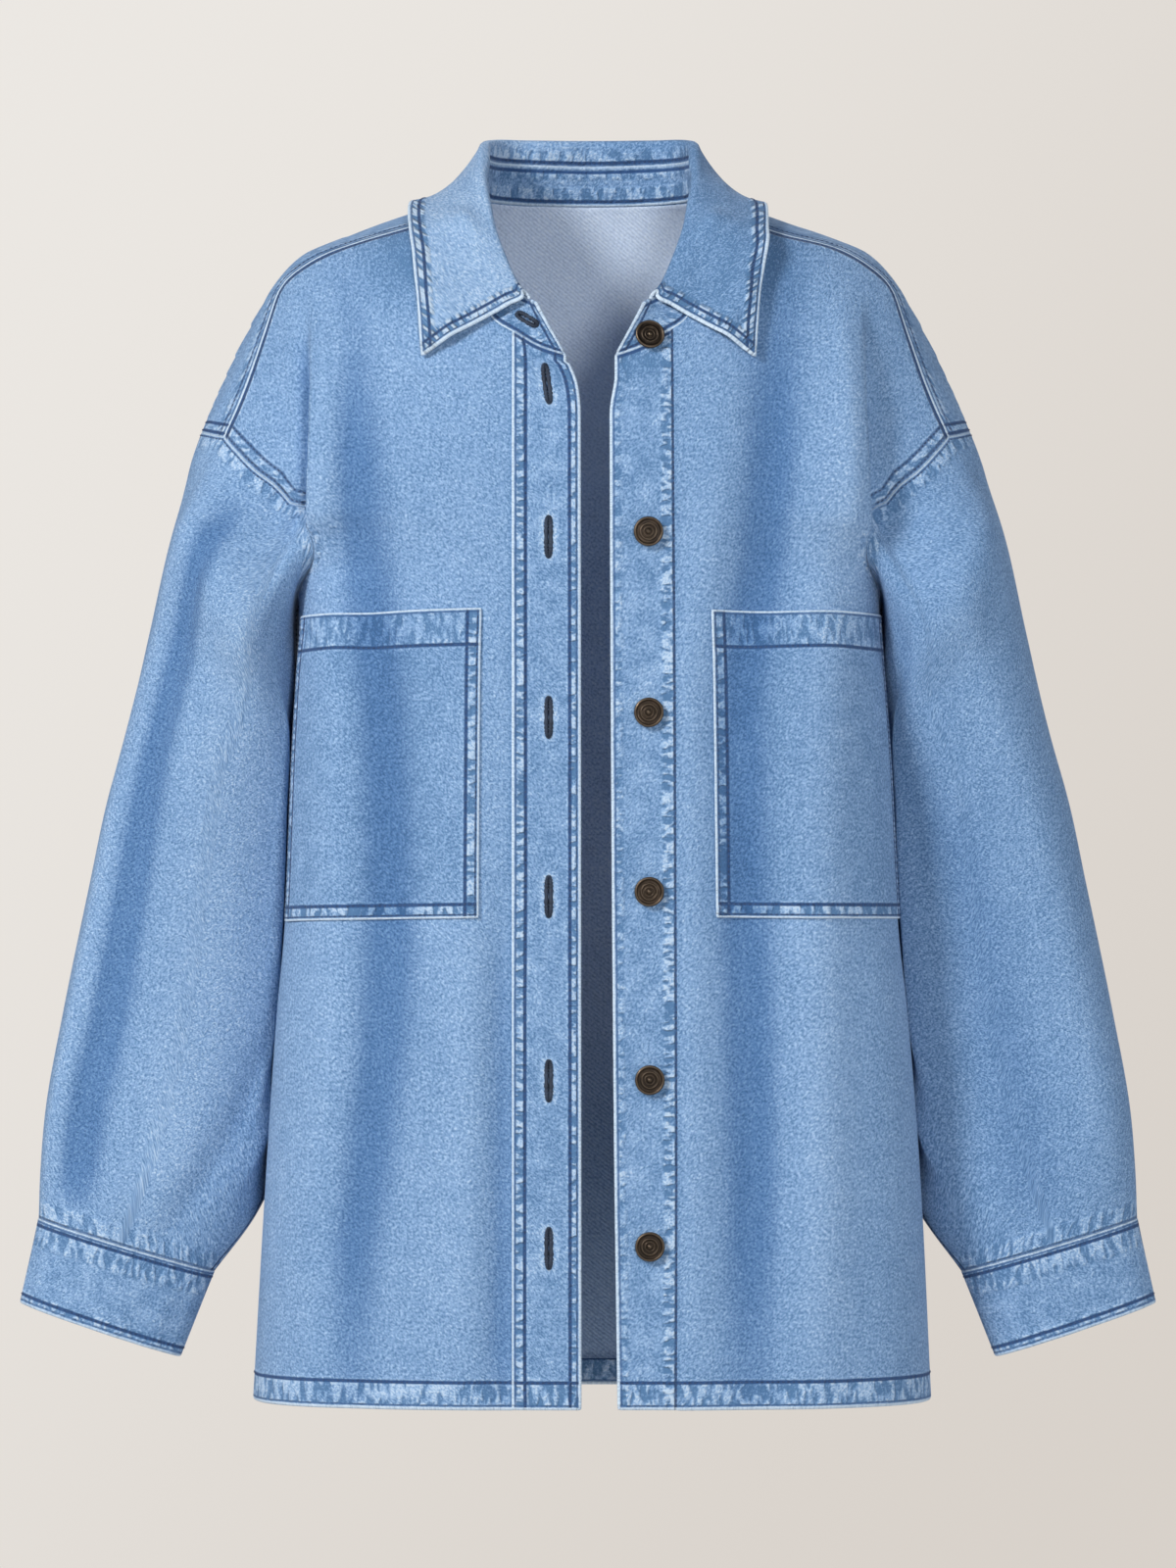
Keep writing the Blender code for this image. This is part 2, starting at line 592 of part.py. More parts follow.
def makeBack():
    points, outward, thickness, quads = [], [], [], []
    edges = {}
    starts = {}
    for side in (-1, 1):
        heights, turns, corner = fanNet(side, 0.0, back=True)
        places, normals = surface(side, heights, turns)
        shown = inset(places, len(lowerRows(side)) + 1)
        rows, columns = heights.shape
        starts[side] = sum(len(p) for p in points)
        points.append(shown.reshape(-1, 3))
        outward.append(normals.reshape(-1, 3))
        thickness.append(panelThickness(heights))
        quads += gridQuads(rows, columns, starts[side], flip=side > 0)
        first = len(lowerRows(side))
        edges[side] = {
            "neck": places[corner:, 0], "arm": places[first:, -1],
            "armOut": normals[first:, -1],
            "under": [(shown, gridQuads(rows, columns, flip=side > 0))],
        }
    shared = {starts[1] + i * columns: i * columns for i in range(corner + 1)}
    quads = [tuple(shared.get(i, i) for i in quad) for quad in quads]
    wall("back", np.concatenate(points), quads, np.concatenate(outward), np.concatenate(thickness))
    return edges


# ---- Sleeves and cuffs

def faceNormals(points, quads):
    out = np.zeros_like(points)
    for a, b, c in halves(quads):
        cross = np.cross(points[b] - points[a], points[c] - points[a])
        for i in (a, b, c):
            out[i] += cross
    return unit(out)


def sleeveRing(ring, angles, side, tuck=0.0, square=2.0):
    outerX, outerZ, innerX, innerZ, y, depth = ring
    centre = np.array([(outerX + innerX) / 2, y, (outerZ + innerZ) / 2])
    half = np.array([(outerX - innerX) / 2, 0, (outerZ - innerZ) / 2])
    across, along = np.cos(angles), np.sin(angles)
    flat = min(2.5, square)
    power = 2 / (flat + (square - flat) * np.clip(-across * 3, 0, 1))      # squarer on its inner side
    across = np.sign(across) * np.abs(across) ** power
    along = np.sign(along) * np.abs(along) ** power
    places = centre + across[:, None] * half - along[:, None] * np.array([0, depth, 0])
    places[:, 1] += tuck * (1 - across) / 2
    return places * np.array([side, 1, 1])


def reachOver(places):
    """How far out from the body's form points lie, and which way is out."""
    def size(p):
        power = exponentAt(p[..., 2])
        wide = wideAt(p[..., 2])
        depth = np.where(p[..., 1] < wide, wide - frontAt(p[..., 2]), backAt(p[..., 2]) - wide)
        across = np.abs(p[..., 0]) / reachAt(p[..., 2])
        along = np.abs(p[..., 1] - wide) / depth
        return (across ** power + along ** power) ** (1 / power)
    step = 1e-4
    slope = np.stack([(size(places + d) - size(places - d)) / (2 * step) for d in np.eye(3) * step], axis=-1)
    steep = np.linalg.norm(slope, axis=-1)
    return (size(places) - 1) / steep, slope / steep[..., None]


def keepOver(side, places, least):
    """Points moved out, where they must, to lie at least this far over the body's form."""
    stretch = 1 + leanAt(places[..., 2]) if side > 0 else np.ones(places.shape[:-1])
    places = places.copy()
    places[..., 0] /= stretch
    for _ in range(3):
        reach, out = reachOver(np.abs(places) * [1, 0, 0] + places * [0, 1, 1])
        out[..., 0] *= np.sign(places[..., 0])
        places = places + out * np.maximum(least - reach, 0)[..., None]
    places[..., 0] *= stretch
    return places


def liesOver(points, under, least):
    """Points moved out, where they must, to lie at least this far over the cloths under them."""
    moved = []
    for point in points:
        point = Vector(point)
        for tree in under * 2:
            place, out, index, far = tree.find_nearest(point)
            height = (point - place).dot(out)
            if far < 0.03 and height < least:
                point = point + out * (least - height)
        moved.append(tuple(point))
    return np.array(moved)


def makeSleeve(side, name, cuffName, front, rear):
    """A sleeve from the armhole's loop, up the front from the underarm and down the back."""
    loop = np.concatenate([front["arm"], rear["arm"][-2:0:-1]])
    loopOut = np.concatenate([front["armOut"], rear["armOut"][-2:0:-1]])
    shift = np.array([leftSleeveShift if side > 0 else 0, 0, 0])
    onward = unit(np.roll(loop, -1, axis=0) - np.roll(loop, 1, axis=0))
    away = unit(np.cross(onward, loopOut)) * side
    for _ in range(2):
        away = unit(away + np.roll(away, 1, axis=0) + np.roll(away, -1, axis=0))
    top = loop[np.argmax(np.abs(loop[:, 0]))]
    under = loop[0]
    middle = (top + under) / 2
    tall = np.linalg.norm(top - under) / 2
    deep = (loop[:, 1].max() - loop[:, 1].min()) / 2
    angles = np.arctan2((middle[1] - loop[:, 1]) / deep, (loop - middle) @ unit(top - under) / tall)
    angles = np.unwrap(angles)
    even = angles[0] + np.linspace(0, -2 * math.pi, len(loop), endpoint=False)
    share = (0.5 + 0.5 * np.cos(angles))[:, None]           # 1 over the shoulder, 0 under the arm
    rings = []
    for i, ring in enumerate(sleeveRings):
        turned = angles + (even - angles) * min(1, (i + 1) / 3)
        places = sleeveRing(ring, turned, side, sleeveTucks[i], sleeveSquare[i]) + shift
        low = places[:, 2] < underarmHeight - 0.008
        places[low] = keepOver(side, places[low], sleeveClear)
        rings.append(places)
    low = np.clip(1 - 2 * share, 0, 1)
    handle = loop + away * (capFirm * share + underFirm * (1 - share)) + loopOut * underOut * low
    between = [loop * (1 - t) ** 2 + 2 * handle * t * (1 - t) + rings[0] * t * t for t in (0.33, 0.67)]
    leave = between[0] - loop
    leave = unit(leave - onward * np.sum(leave * onward, axis=1, keepdims=True))
    back = np.minimum(0, np.sum(leave * away, axis=1, keepdims=True))
    clear = unit(leave - away * back + loopOut * 0.1)
    rings[:0] = [loop + clear * armholeGap] + between
    points = np.concatenate(rings)
    count = len(loop)
    quads = gridQuads(len(rings), count, flip=side < 0, closed=True)
    normals = faceNormals(points, quads)
    if np.mean(np.sum(normals * (points - np.tile(np.mean(rings[5], axis=0), (len(points), 1))), axis=1)) < 0:
        quads = [tuple(reversed(quad)) for quad in quads]
        normals = -normals
    normals[:count] = np.cross(leave, onward) * side
    last = rings[-1]
    square = unit(last - last.mean(axis=0))
    normals[-count:] = square
    wall(name, points, quads, normals, cloth)
    start = np.array(sleeveRings[-1])
    end = np.array(cuffEnd)
    downward = (end - start) * seamGap / 0.050
    cuff = [sleeveRing(start + downward, even, side) + shift]
    cuff += [sleeveRing(start + (end - start) * part, even, side) + shift for part in (0.5, 1.0)]
    points = np.concatenate(cuff)
    quads = gridQuads(3, count, closed=True)
    normals = np.concatenate([unit(ring - ring.mean(axis=0)) for ring in cuff])
    facing = faceNormals(points, quads)
    if np.mean(np.sum(facing * normals, axis=1)) < 0:
        quads = [tuple(reversed(quad)) for quad in quads]
    wall(cuffName, points, quads, normals, doubled)


# ---- Collar stand and leaf

def lineAt(rows, first=1):
    paths = [ease(column(rows, 0), column(rows, i)) for i in range(first, first + 3)]
    return lambda at: np.stack([path(at) for path in paths], axis=-1)


def neckStations(fronts, back):
    """Each side's neckline as the panels make it, from the centre back to the front end."""
    sides = {}
    for side in (-1, 1):
        front = fronts[side]["neck"]
        places = np.concatenate([back[side]["neck"], front[-2::-1]])
        run = np.concatenate([[0], np.cumsum(np.linalg.norm(np.diff(places, axis=0), axis=1))])
        at = run / run[-1]
        extra = [leafEnd] + (list(standSlit) if side < 0 else [])
        allAt = np.array(sorted(set(at) | set(extra)))
        full = np.stack([np.interp(allAt, at, places[:, i]) for i in range(3)], axis=-1)
        sides[side] = (allAt, full)
    return sides


def makeStand(stations):
    topLine = lineAt(standTop)
    chain = []
    for side in (-1, 1):
        at, bottom = stations[side]
        top = lean(side, topLine(at) * np.array([side, 1, 1]))
        rise = unit(top - bottom)
        low = bottom + rise * neckGap
        rows = [low + (top - low) * part for part in standParts]
        chain.append((at, np.stack(rows, axis=1)))
    rightAt, right = chain[0]
    leftAt, left = chain[1]
    grid = np.concatenate([right[::-1], left[1:]])          # from the right front end to the left
    allAt = np.concatenate([-rightAt[::-1], leftAt[1:]])
    across = len(standParts)
    points = grid.reshape(-1, 3)
    quads = gridQuads(len(grid), across)
    normals = faceNormals(points, quads)
    if np.sum(normals[:across, 1]) > 0:
        quads = [tuple(reversed(quad)) for quad in quads]
        normals = -normals
    first, last = sorted(-s for s in standSlit)
    kept = []
    for quad in quads:
        row = min(quad) // across
        part = min(quad) % across
        inSlit = first - 1e-6 <= allAt[row] and allAt[row + 1] <= last + 1e-6
        if not (inSlit and part == 1):
            kept.append(quad)
    wall("collar_stand", points, kept, normals, doubled)
    return grid, normals.reshape(grid.shape), allAt, quads


def makeCollar(grid, outward, allAt, under):
    """The leaf: up from the stand, over its fold, and down over whatever lies under it."""
    riseAt = ease(column(leafRise, 0), column(leafRise, 1))
    edgeZ, edgeT = through(leafEdge)
    sections = []
    seamOut = []
    for row, at in enumerate(allAt):
        if abs(at) > leafEnd + 1e-6:
            continue
        side = -1 if at < 0 else 1
        place = abs(at) / leafEnd
        up = unit(grid[row, -1] - grid[row, -2])
        out = unit(outward[row, -1] - up * (outward[row, -1] @ up))
        seam = grid[row, -1] - outward[row, -1] * doubled + up * leafGap
        cloths, clothOut = surface(side, float(edgeZ(place)), float(edgeT(place)))
        edge = cloths + clothOut * collarLift
        inner = max(float(riseAt(place)) - collarRoll, seamGap)
        centre = seam + up * inner + out * collarRoll
        section = [seam]
        for step in range(foldSteps + 1):
            a = math.pi * step / foldSteps
            section.append(centre + collarRoll * (-math.cos(a) * out + math.sin(a) * up))
        start = section[-1]
        reach = edge - start
        ahead = np.clip((place - 0.10) / 0.18, 0, 1)
        leave = unit(unit(reach) * ahead - up * (1 - ahead))
        first = start + leave * min(0.3 * np.linalg.norm(reach), 0.020)
        second = edge - reach * 0.35
        for t in (0.22, 0.42, 0.62, 0.82, 1.0):
            section.append(start * (1 - t) ** 3 + 3 * first * t * (1 - t) ** 2
                           + 3 * second * t * t * (1 - t) + edge * t ** 3)
        sections.append(section)
        seamOut.append(-outward[row, -1])
    grid = np.array(sections)
    free = grid[:, foldSteps + 2:]
    moved = np.zeros(free.shape)
    for _ in range(leafSettles):
        moved = liesOver((free + moved).reshape(-1, 3), under, doubled + leafClear).reshape(free.shape) - free
        padded = np.pad(moved, ((1, 1), (1, 1), (0, 0)), mode="edge")
        beside = padded[2:, 1:-1] + padded[:-2, 1:-1] + padded[1:-1, 2:] + padded[1:-1, :-2]
        moved = moved / 2 + beside / 8
    lain = liesOver((free + moved).reshape(-1, 3), under, doubled + leafClear / 2)
    grid[:, foldSteps + 2:] = lain.reshape(free.shape)
    points = grid.reshape(-1, 3)
    quads = gridQuads(len(grid), grid.shape[1])
    normals = faceNormals(points, quads)
    middle = (len(grid) // 2) * grid.shape[1] + 3
    if normals[middle][2] < 0:
        quads = [tuple(reversed(quad)) for quad in quads]
        normals = -normals
    normals = normals.reshape(grid.shape)
    normals[:, 0] = seamOut
    wall("collar", points, quads, normals.reshape(-1, 3), doubled)


# ---- Buttons

def makeButton(name, place, out, lift):
    """A tack button: a shank and a dished cap with a raised rim, turned about its own axis."""
    base = Vector(place) + Vector(out) * lift
    turned = Vector(out).to_track_quat("Z", "Y")
    mesh = bmesh.new()
    rings = []
    for radius, height in buttonProfile:
        ring = []
        for i in range(buttonSides):
            a = 2 * math.pi * i / buttonSides
            point = turned @ Vector((radius * math.cos(a), radius * math.sin(a), height)) + base
            ring.append(mesh.verts.new(point))
        rings.append(ring)
    for lower, upper in zip(rings, rings[1:]):
        for i in range(buttonSides):
            j = (i + 1) % buttonSides
            mesh.faces.new((lower[i], lower[j], upper[j], upper[i]))
    mesh.faces.new(list(reversed(rings[0])))
    mesh.faces.new(rings[-1])
    data = bpy.data.meshes.new(name)
    mesh.to_mesh(data)
    mesh.free()
    made = bpy.data.objects.new(name, data)
    made.data.materials.append(material(name))
    bpy.context.scene.collection.objects.link(made)
    data.shade_smooth()
    data.set_sharp_from_angle(angle=math.radians(35))


def makeButtons(stand, standOut, allAt):
    def onStand(grid):
        lines = [[np.interp(standButton, allAt, grid[:, row, axis]) for axis in range(3)] for row in (0, -1)]
        return np.array(lines[0]) * (1 - standButtonHeight) + np.array(lines[1]) * standButtonHeight

    makeButton("button_1", onStand(stand), unit(onStand(standOut)), standButtonLift)
    for i, height in enumerate(buttonHeights, 2):
        place, out = surface(1, height, float(turnAt(buttonFromCentre, height)))
        makeButton(f"button_{i}", place, out, frontButtonLift)


# ---- The garment

for old in list(bpy.data.objects):
    bpy.data.objects.remove(old, do_unlink=True)
fronts = {
    -1: makeFront(-1, "front_right", "pocket_right"),
    1: makeFront(1, "front_left", "pocket_left"),
}
backEdges = makeBack()
for side, end in ((-1, "right"), (1, "left")):
    makeSleeve(side, f"sleeve_{end}", f"cuff_{end}", fronts[side], backEdges[side])
standGrid, standOut, standAt, standQuads = makeStand(neckStations(fronts, backEdges))
underLeaf = [BVHTree.FromPolygons([tuple(p) for p in points.reshape(-1, 3)], halves(quads))
             for points, quads in ([(standGrid, standQuads)] + sum((f["under"] for f in fronts.values()), [])
                                   + sum((b["under"] for b in backEdges.values()), []))]
makeCollar(standGrid, standOut, standAt, underLeaf)
makeButtons(standGrid, standOut, standAt)
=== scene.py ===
import functools
import math

import bpy
import numpy as np
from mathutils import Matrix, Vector
from mathutils.bvhtree import BVHTree


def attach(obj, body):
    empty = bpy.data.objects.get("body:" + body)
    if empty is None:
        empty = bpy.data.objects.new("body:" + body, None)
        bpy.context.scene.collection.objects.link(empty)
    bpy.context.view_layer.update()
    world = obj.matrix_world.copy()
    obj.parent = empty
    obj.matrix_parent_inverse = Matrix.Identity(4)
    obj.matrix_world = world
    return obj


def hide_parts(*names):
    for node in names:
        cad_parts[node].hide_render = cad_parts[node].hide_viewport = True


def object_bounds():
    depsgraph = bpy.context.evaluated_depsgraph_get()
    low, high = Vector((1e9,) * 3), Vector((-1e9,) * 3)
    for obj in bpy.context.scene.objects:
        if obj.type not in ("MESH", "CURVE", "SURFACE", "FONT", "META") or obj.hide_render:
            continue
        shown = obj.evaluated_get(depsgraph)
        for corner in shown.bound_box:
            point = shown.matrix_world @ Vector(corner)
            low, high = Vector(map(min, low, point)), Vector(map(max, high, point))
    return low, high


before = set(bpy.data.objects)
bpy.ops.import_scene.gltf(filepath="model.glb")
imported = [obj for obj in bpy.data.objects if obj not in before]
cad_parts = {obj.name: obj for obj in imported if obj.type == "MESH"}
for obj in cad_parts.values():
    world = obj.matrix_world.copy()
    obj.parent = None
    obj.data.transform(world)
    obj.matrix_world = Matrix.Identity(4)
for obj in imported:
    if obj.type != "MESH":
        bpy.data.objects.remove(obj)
scene = bpy.context.scene
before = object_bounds()

# Camera, light and stage

view = {"place": (-0.0017, -4.6, -0.351), "lens": 174.6, "sensor": 36}
cameraData = bpy.data.cameras.new("camera")
cameraData.lens = view["lens"]
cameraData.sensor_width = view["sensor"]
cameraData.clip_end = 60
camera = bpy.data.objects.new("camera", cameraData)
camera.location = view["place"]
camera.rotation_euler = (math.radians(90), 0, 0)
scene.collection.objects.link(camera)
scene.camera = camera
scene.view_settings.view_transform = "Standard"
scene.view_settings.look = "None"

lamps = [
    {"name": "key", "place": (-2.72, -3.02, 1.81), "size": 1.2, "power": 180, "colour": (1.0, 0.985, 0.96)},
    {"name": "front", "place": (1.00, -4.8, 0.30), "size": 1.0, "power": 80, "colour": (1.0, 1.0, 1.0)},
    {"name": "side", "place": (3.6, -0.7, 0.3), "size": 1.5, "power": 26, "colour": (0.93, 0.97, 1.0)},
    {"name": "rear", "place": (0.6, 3.6, 1.8), "size": 2.4, "power": 70, "colour": (1.0, 1.0, 1.0)},
]
lampTarget = -0.35      # the height they all point at, on the middle line
for lamp in lamps:
    data = bpy.data.lights.new(lamp["name"], "AREA")
    data.shape = "DISK"
    data.size = lamp["size"]
    data.energy = lamp["power"]
    data.color = lamp["colour"]
    light = bpy.data.objects.new(lamp["name"], data)
    light.location = lamp["place"]
    toward = Vector((0, 0, lampTarget)) - light.location
    light.rotation_euler = toward.to_track_quat("-Z", "Y").to_euler()
    scene.collection.objects.link(light)
print("stage: camera and light")


# Node writing

class Nodes:
    def __init__(self, tree):
        self.tree = tree
        tree.nodes.clear()

    def feed(self, sockets, inputs):
        for key, value in inputs.items():
            if isinstance(value, Value):
                value = value.socket
            if isinstance(value, bpy.types.NodeSocket):
                self.tree.links.new(value, sockets[key])
            else:
                sockets[key].default_value = value

    def add(self, kind, settings=None, inputs=None):
        node = self.tree.nodes.new("ShaderNode" + kind)
        for key, value in (settings or {}).items():
            setattr(node, key, value)
        self.feed(node.inputs, inputs or {})
        return node

    def math(self, operation, *values):
        return Value(self, self.add("Math", {"operation": operation}, dict(enumerate(values))).outputs[0])

    # from one value to another as the input goes from low to high, softly
    def soft(self, value, low, high, start=0.0, end=1.0):
        inputs = {"Value": value, "From Min": low, "From Max": high, "To Min": start, "To Max": end}
        settings = {"interpolation_type": "SMOOTHSTEP", "clamp": True}
        return Value(self, self.add("MapRange", settings, inputs).outputs[0])

    # how near a value is to a place: 1 up to the first distance, 0 from the second
    def near(self, value, place, first, last):
        return self.soft((value - place).abs(), first, last, 1.0, 0.0)

    def mix(self, share, first, second, blend="MIX"):
        settings = {"data_type": "RGBA", "blend_type": blend, "clamp_result": True}
        return self.add("Mix", settings, {0: share, 6: first, 7: second}).outputs[2]

    def vector(self, x, y, z=0.0):
        return self.add("CombineXYZ", None, {0: x, 1: y, 2: z}).outputs[0]

    def noise(self, place, scale, detail=2.0, roughness=0.5):
        inputs = {"Vector": place, "Scale": scale, "Detail": detail, "Roughness": roughness}
        return Value(self, self.add("TexNoise", None, inputs).outputs[0])

    def bump(self, height, strength=1.0):
        return self.add("Bump", None, {"Strength": strength, "Distance": 1.0, "Height": height}).outputs[0]

    # the three parts of a point attribute
    def attribute(self, name):
        vector = self.add("Attribute", {"attribute_name": name}).outputs["Vector"]
        return [Value(self, socket) for socket in self.add("SeparateXYZ", None, {0: vector}).outputs[:3]]


def operator(operation, swapped=False):
    def apply(self, other):
        return self.nodes.math(operation, *((other, self) if swapped else (self, other)))
    return apply


class Value:
    def __init__(self, nodes, socket):
        self.nodes = nodes
        self.socket = socket

    __add__ = __radd__ = operator("ADD")
    __sub__ = operator("SUBTRACT")
    __rsub__ = operator("SUBTRACT", True)
    __mul__ = __rmul__ = operator("MULTIPLY")
    most = operator("MAXIMUM")

    def abs(self):
        return self.nodes.math("ABSOLUTE", self)


def newMaterial(name):
    made = bpy.data.materials.new(name)
    made.use_nodes = True
    nodes = Nodes(made.node_tree)
    shader = nodes.add("BsdfPrincipled")
    nodes.add("OutputMaterial", None, {0: shader.outputs[0]})
    return made, nodes, shader.inputs


world = bpy.data.worlds.new("studio")
scene.world = world
world.use_nodes = True
sky = Nodes(world.node_tree)
direction = sky.add("TexCoord").outputs["Generated"]
parts = sky.add("SeparateXYZ", None, {0: direction})
sideways, upward = Value(sky, parts.outputs[0]), Value(sky, parts.outputs[2])
# the backdrop the camera sees, darker toward the lower right: painted shade of the light's falloff
shade = sky.soft(sideways * 0.55 - upward * 0.35, -0.085, 0.085)
backdrop = sky.mix(shade, (0.835, 0.805, 0.768, 1), (0.685, 0.638, 0.590, 1))
seen = sky.add("LightPath").outputs["Is Camera Ray"]
around = sky.add("Background", None, {0: (0.80, 0.86, 1.0, 1), 1: 0.18})
shown = sky.add("Background", None, {0: backdrop, 1: 1.0})
both = sky.add("MixShader", None, {0: seen, 1: around.outputs[0], 2: shown.outputs[0]})
sky.add("OutputWorld", None, {0: both.outputs[0]})

floorSize = 4.6
floorDrop = 0.62       # below the hem
floorMesh = bpy.data.meshes.new("floor")
corners = [(-1, -1), (1, -1), (1, 1), (-1, 1)]
corners = [(x * floorSize, y * floorSize, before[0].z - floorDrop) for x, y in corners]
floorMesh.from_pydata(corners, [], [(0, 1, 2, 3)])
floor = bpy.data.objects.new("floor", floorMesh)
scene.collection.objects.link(floor)
paper, nodes, inputs = newMaterial("pale_floor")
place = nodes.add("TexCoord").outputs["Object"]
grain = nodes.soft(nodes.noise(place, 30.0), 0.3, 0.7)
tint = nodes.mix(grain, (0.68, 0.645, 0.605, 1), (0.72, 0.685, 0.645, 1))
nodes.feed(inputs, {"Base Color": tint, "Roughness": 0.9})
floorMesh.materials.append(paper)


# Denim

# deep is the painted shade of grooves and edge lines, sunk the painted shade multiplied into fold troughs
tones = {
    "deep": (0.028, 0.078, 0.205, 1),
    "dark": (0.080, 0.182, 0.350, 1),
    "sunk": (0.42, 0.56, 0.70, 1),
    "mid": (0.190, 0.329, 0.556, 1),
    "pale": (0.328, 0.482, 0.700, 1),
    "white": (0.560, 0.680, 0.800, 1),
}
# neck is painted light where light comes in at the neck opening, low the painted shade multiplied in low down
# inside
insideTones = {
    "low": (0.38, 0.46, 0.56, 1),
    "neck": (0.71, 0.83, 1.0, 1),
    "dark": (0.400, 0.500, 0.680, 1),
    "mid": (0.600, 0.710, 0.900, 1),
    "pale": (0.780, 0.860, 0.980, 1),
}

# Noises of the cloth: features to the metre, detail, roughness
noises = {
    "fine": (980.0, 2.0, 0.6), "blotch": (520.0, 2.0, 0.65),
    "cloud": (95.0, 2.0, 0.5), "drift": (16.0, 1.0, 0.5),
    "streak": (240.0, 1.0, 0.5), "wander": (60.0, 1.0, 0.5),
    "sides": (260.0, 1.5, 0.45), "ends": (230.0, 1.5, 0.45),
}


# The attribute "cloth" holds metres across and along the grain, and how proud the place stands;
# "sides" and "ends" hold the metres to the piece's left, right, lower and upper edges.
# An edge's style has its worn white rim with a painted shadow line just inside it, rows of stitches drawn as
# painted groove shade, the puckered ladder (start, stop, strength), the change of tone up to a distance
# (soften, which beside the right front's raised placket is painted shadow) and the painted shade under the
# collar near the front edge (under).
def denim(name, cut):
    made, nodes, shader = newMaterial(name)
    s, t, proud = nodes.attribute("cloth")
    left, right, hidden = nodes.attribute("sides")
    low, high = nodes.attribute("ends")[:2]
    edges = {"left": left, "right": right, "low": low, "high": high}
    seed = cut["seed"]
    plain = nodes.vector(s, t, seed)
    fine = nodes.soft(
        nodes.noise(nodes.vector((s + t) * 0.42, (s - t) * 1.0, seed), *noises["fine"]), 0.32, 0.68)
    blotch = nodes.soft(nodes.noise(plain, *noises["blotch"]), 0.34, 0.66)
    cloud = nodes.noise(plain, *noises["cloud"])
    drift = nodes.noise(plain, *noises["drift"])
    streak = nodes.noise(nodes.vector(s * 1.0, t * 0.08, seed + 3.0), *noises["streak"])
    wander = nodes.noise(nodes.vector(s, t, seed + 5.0), *noises["wander"])
    ladders = {
        "sides": nodes.noise(nodes.vector(s * 0.42, t, seed + 11.0), *noises["sides"]),
        "ends": nodes.noise(nodes.vector(s, t * 0.34, seed + 17.0), *noises["ends"]),
    }
    tone = ((fine - 0.5) * 1.05 + (blotch - 0.5) * 0.85
            + (cloud - 0.5) * cut.get("cloud", 0.6) + (drift - 0.5) * 0.35)
    # fold crests (proud above 0) made paler: wear together with painted light on the raised cloth
    tone = tone - 0.12 + (streak - 0.5) * 0.22 + proud.most(0.0) * 0.25 + cut.get("tone", 0.0)
    height = fine * 0.00018 + blotch * 0.00024 + cloud * 0.0003
    marks = {"white": [], "dark": []}
    for edge, style in cut["edges"].items():
        d = edges[edge]
        steps = nodes.soft(ladders["sides" if edge in ("left", "right") else "ends"], 0.39, 0.59)
        start, stop, amount = style.get("ladder", (0.0, 0.0, 0.0))
        if amount:
            zone = (nodes.soft(d, start, start + 0.0012)
                    * nodes.soft(d, stop - 0.0008, stop + 0.0022, 1.0, 0.0))
            tone = tone + (steps - 0.52) * zone * (amount * 2.3)
            height = height + steps * zone * (0.0014 * amount)
        if style.get("white"):
            wide = style.get("whiteWide", 0.00045)
            rim = nodes.soft(d + (wander - 0.5) * 0.0007, wide * 0.5, wide * 1.5, 1.0, 0.0)
            marks["white"].append(rim * style["white"])
            # a dark line just inside the white rim: painted shadow of the rolled edge
            marks["dark"].append(nodes.near(d, wide + 0.0009, 0.0001, 0.0009) * (0.82 * style["white"]))
            height = height - nodes.soft(d, 0.0, wide * 2.0, 0.0, 1.0) * 0.0003
        for row in style.get("rows", ()):
            # each row drawn as a dark line, painted shade of the stitched groove, with painted highlight on
            # the puffed cloth either side
            marks["dark"].append(nodes.near(d, row, 0.0006, 0.0015) * style.get("line", 1.0))
            height = height - nodes.near(d, row, 0.0, 0.0018) * 0.0005
            tone = tone + nodes.near((d - row).abs(), 0.0019, 0.0, 0.0011) * 0.22
        # a change of tone near the edge; beside the right front's raised placket it is painted shadow
        if "soften" in style:
            distance, change = style["soften"]
            tone = tone + nodes.soft(d, 0.0, distance, 1.0, 0.0) * change
        # painted shadow of the collar on the fronts, placket and facing, strongest near the front edge
        if "under" in style:
            first, last, shade = style["under"]
            tone = tone - nodes.soft(d, first, last, 1.0, 0.0) * nodes.soft(left, 0.02, 0.08, shade, 0.0)
    # one half of the collar paler and the other darker: painted light from the side
    tone = tone + nodes.soft(s, -0.05, 0.05, 0.5, -0.5) * cut.get("paintedSideLight", 0.0)
    for x, z in cut.get("holes", ()):
        beyond = ((t - z).abs() - buttonholes["long"] * 0.4).most(0.0)
        aside = (s - x).abs()
        tone = tone + nodes.soft((beyond * beyond + aside * aside) * 1e6, 12.0, 46.0, 1.0, 0.0) * 0.55
    colour = nodes.mix(nodes.soft(tone, -0.95, 0.02), tones["dark"], tones["mid"])
    colour = nodes.mix(nodes.soft(tone, -0.08, 0.72), colour, tones["pale"])
    colour = nodes.mix(nodes.soft(tone, 0.55, 1.10) * 0.6, colour, tones["white"])
    # fold troughs (proud below 0) multiplied toward tones["sunk"]: painted shade in the folds
    colour = nodes.mix(nodes.soft(proud * -1.0, 0.0, 1.15) * 0.95, colour, tones["sunk"], "MULTIPLY")
    white, dark = [functools.reduce(Value.most, marks[key]) for key in ("white", "dark")]
    shown = 1 - hidden
    # the painted shade lines (grooves, rim shadows, shadow under overlapping edges) mixed toward
    # tones["deep"]
    colour = nodes.mix(dark * shown, colour, tones["deep"])
    colour = nodes.mix(white * nodes.soft(fine, 0.22, 0.5, 0.7, 1.0) * shown, colour, tones["white"])
    nodes.feed(shader, {
        "Base Color": colour, "Roughness": nodes.soft(fine, 0.2, 0.8, 0.82, 0.96),
        "Normal": nodes.bump(height), "Sheen Weight": 0.12, "Sheen Roughness": 0.6,
        "Sheen Tint": (0.8, 0.88, 1.0, 1), "Specular IOR Level": 0.18,
    })
    return made
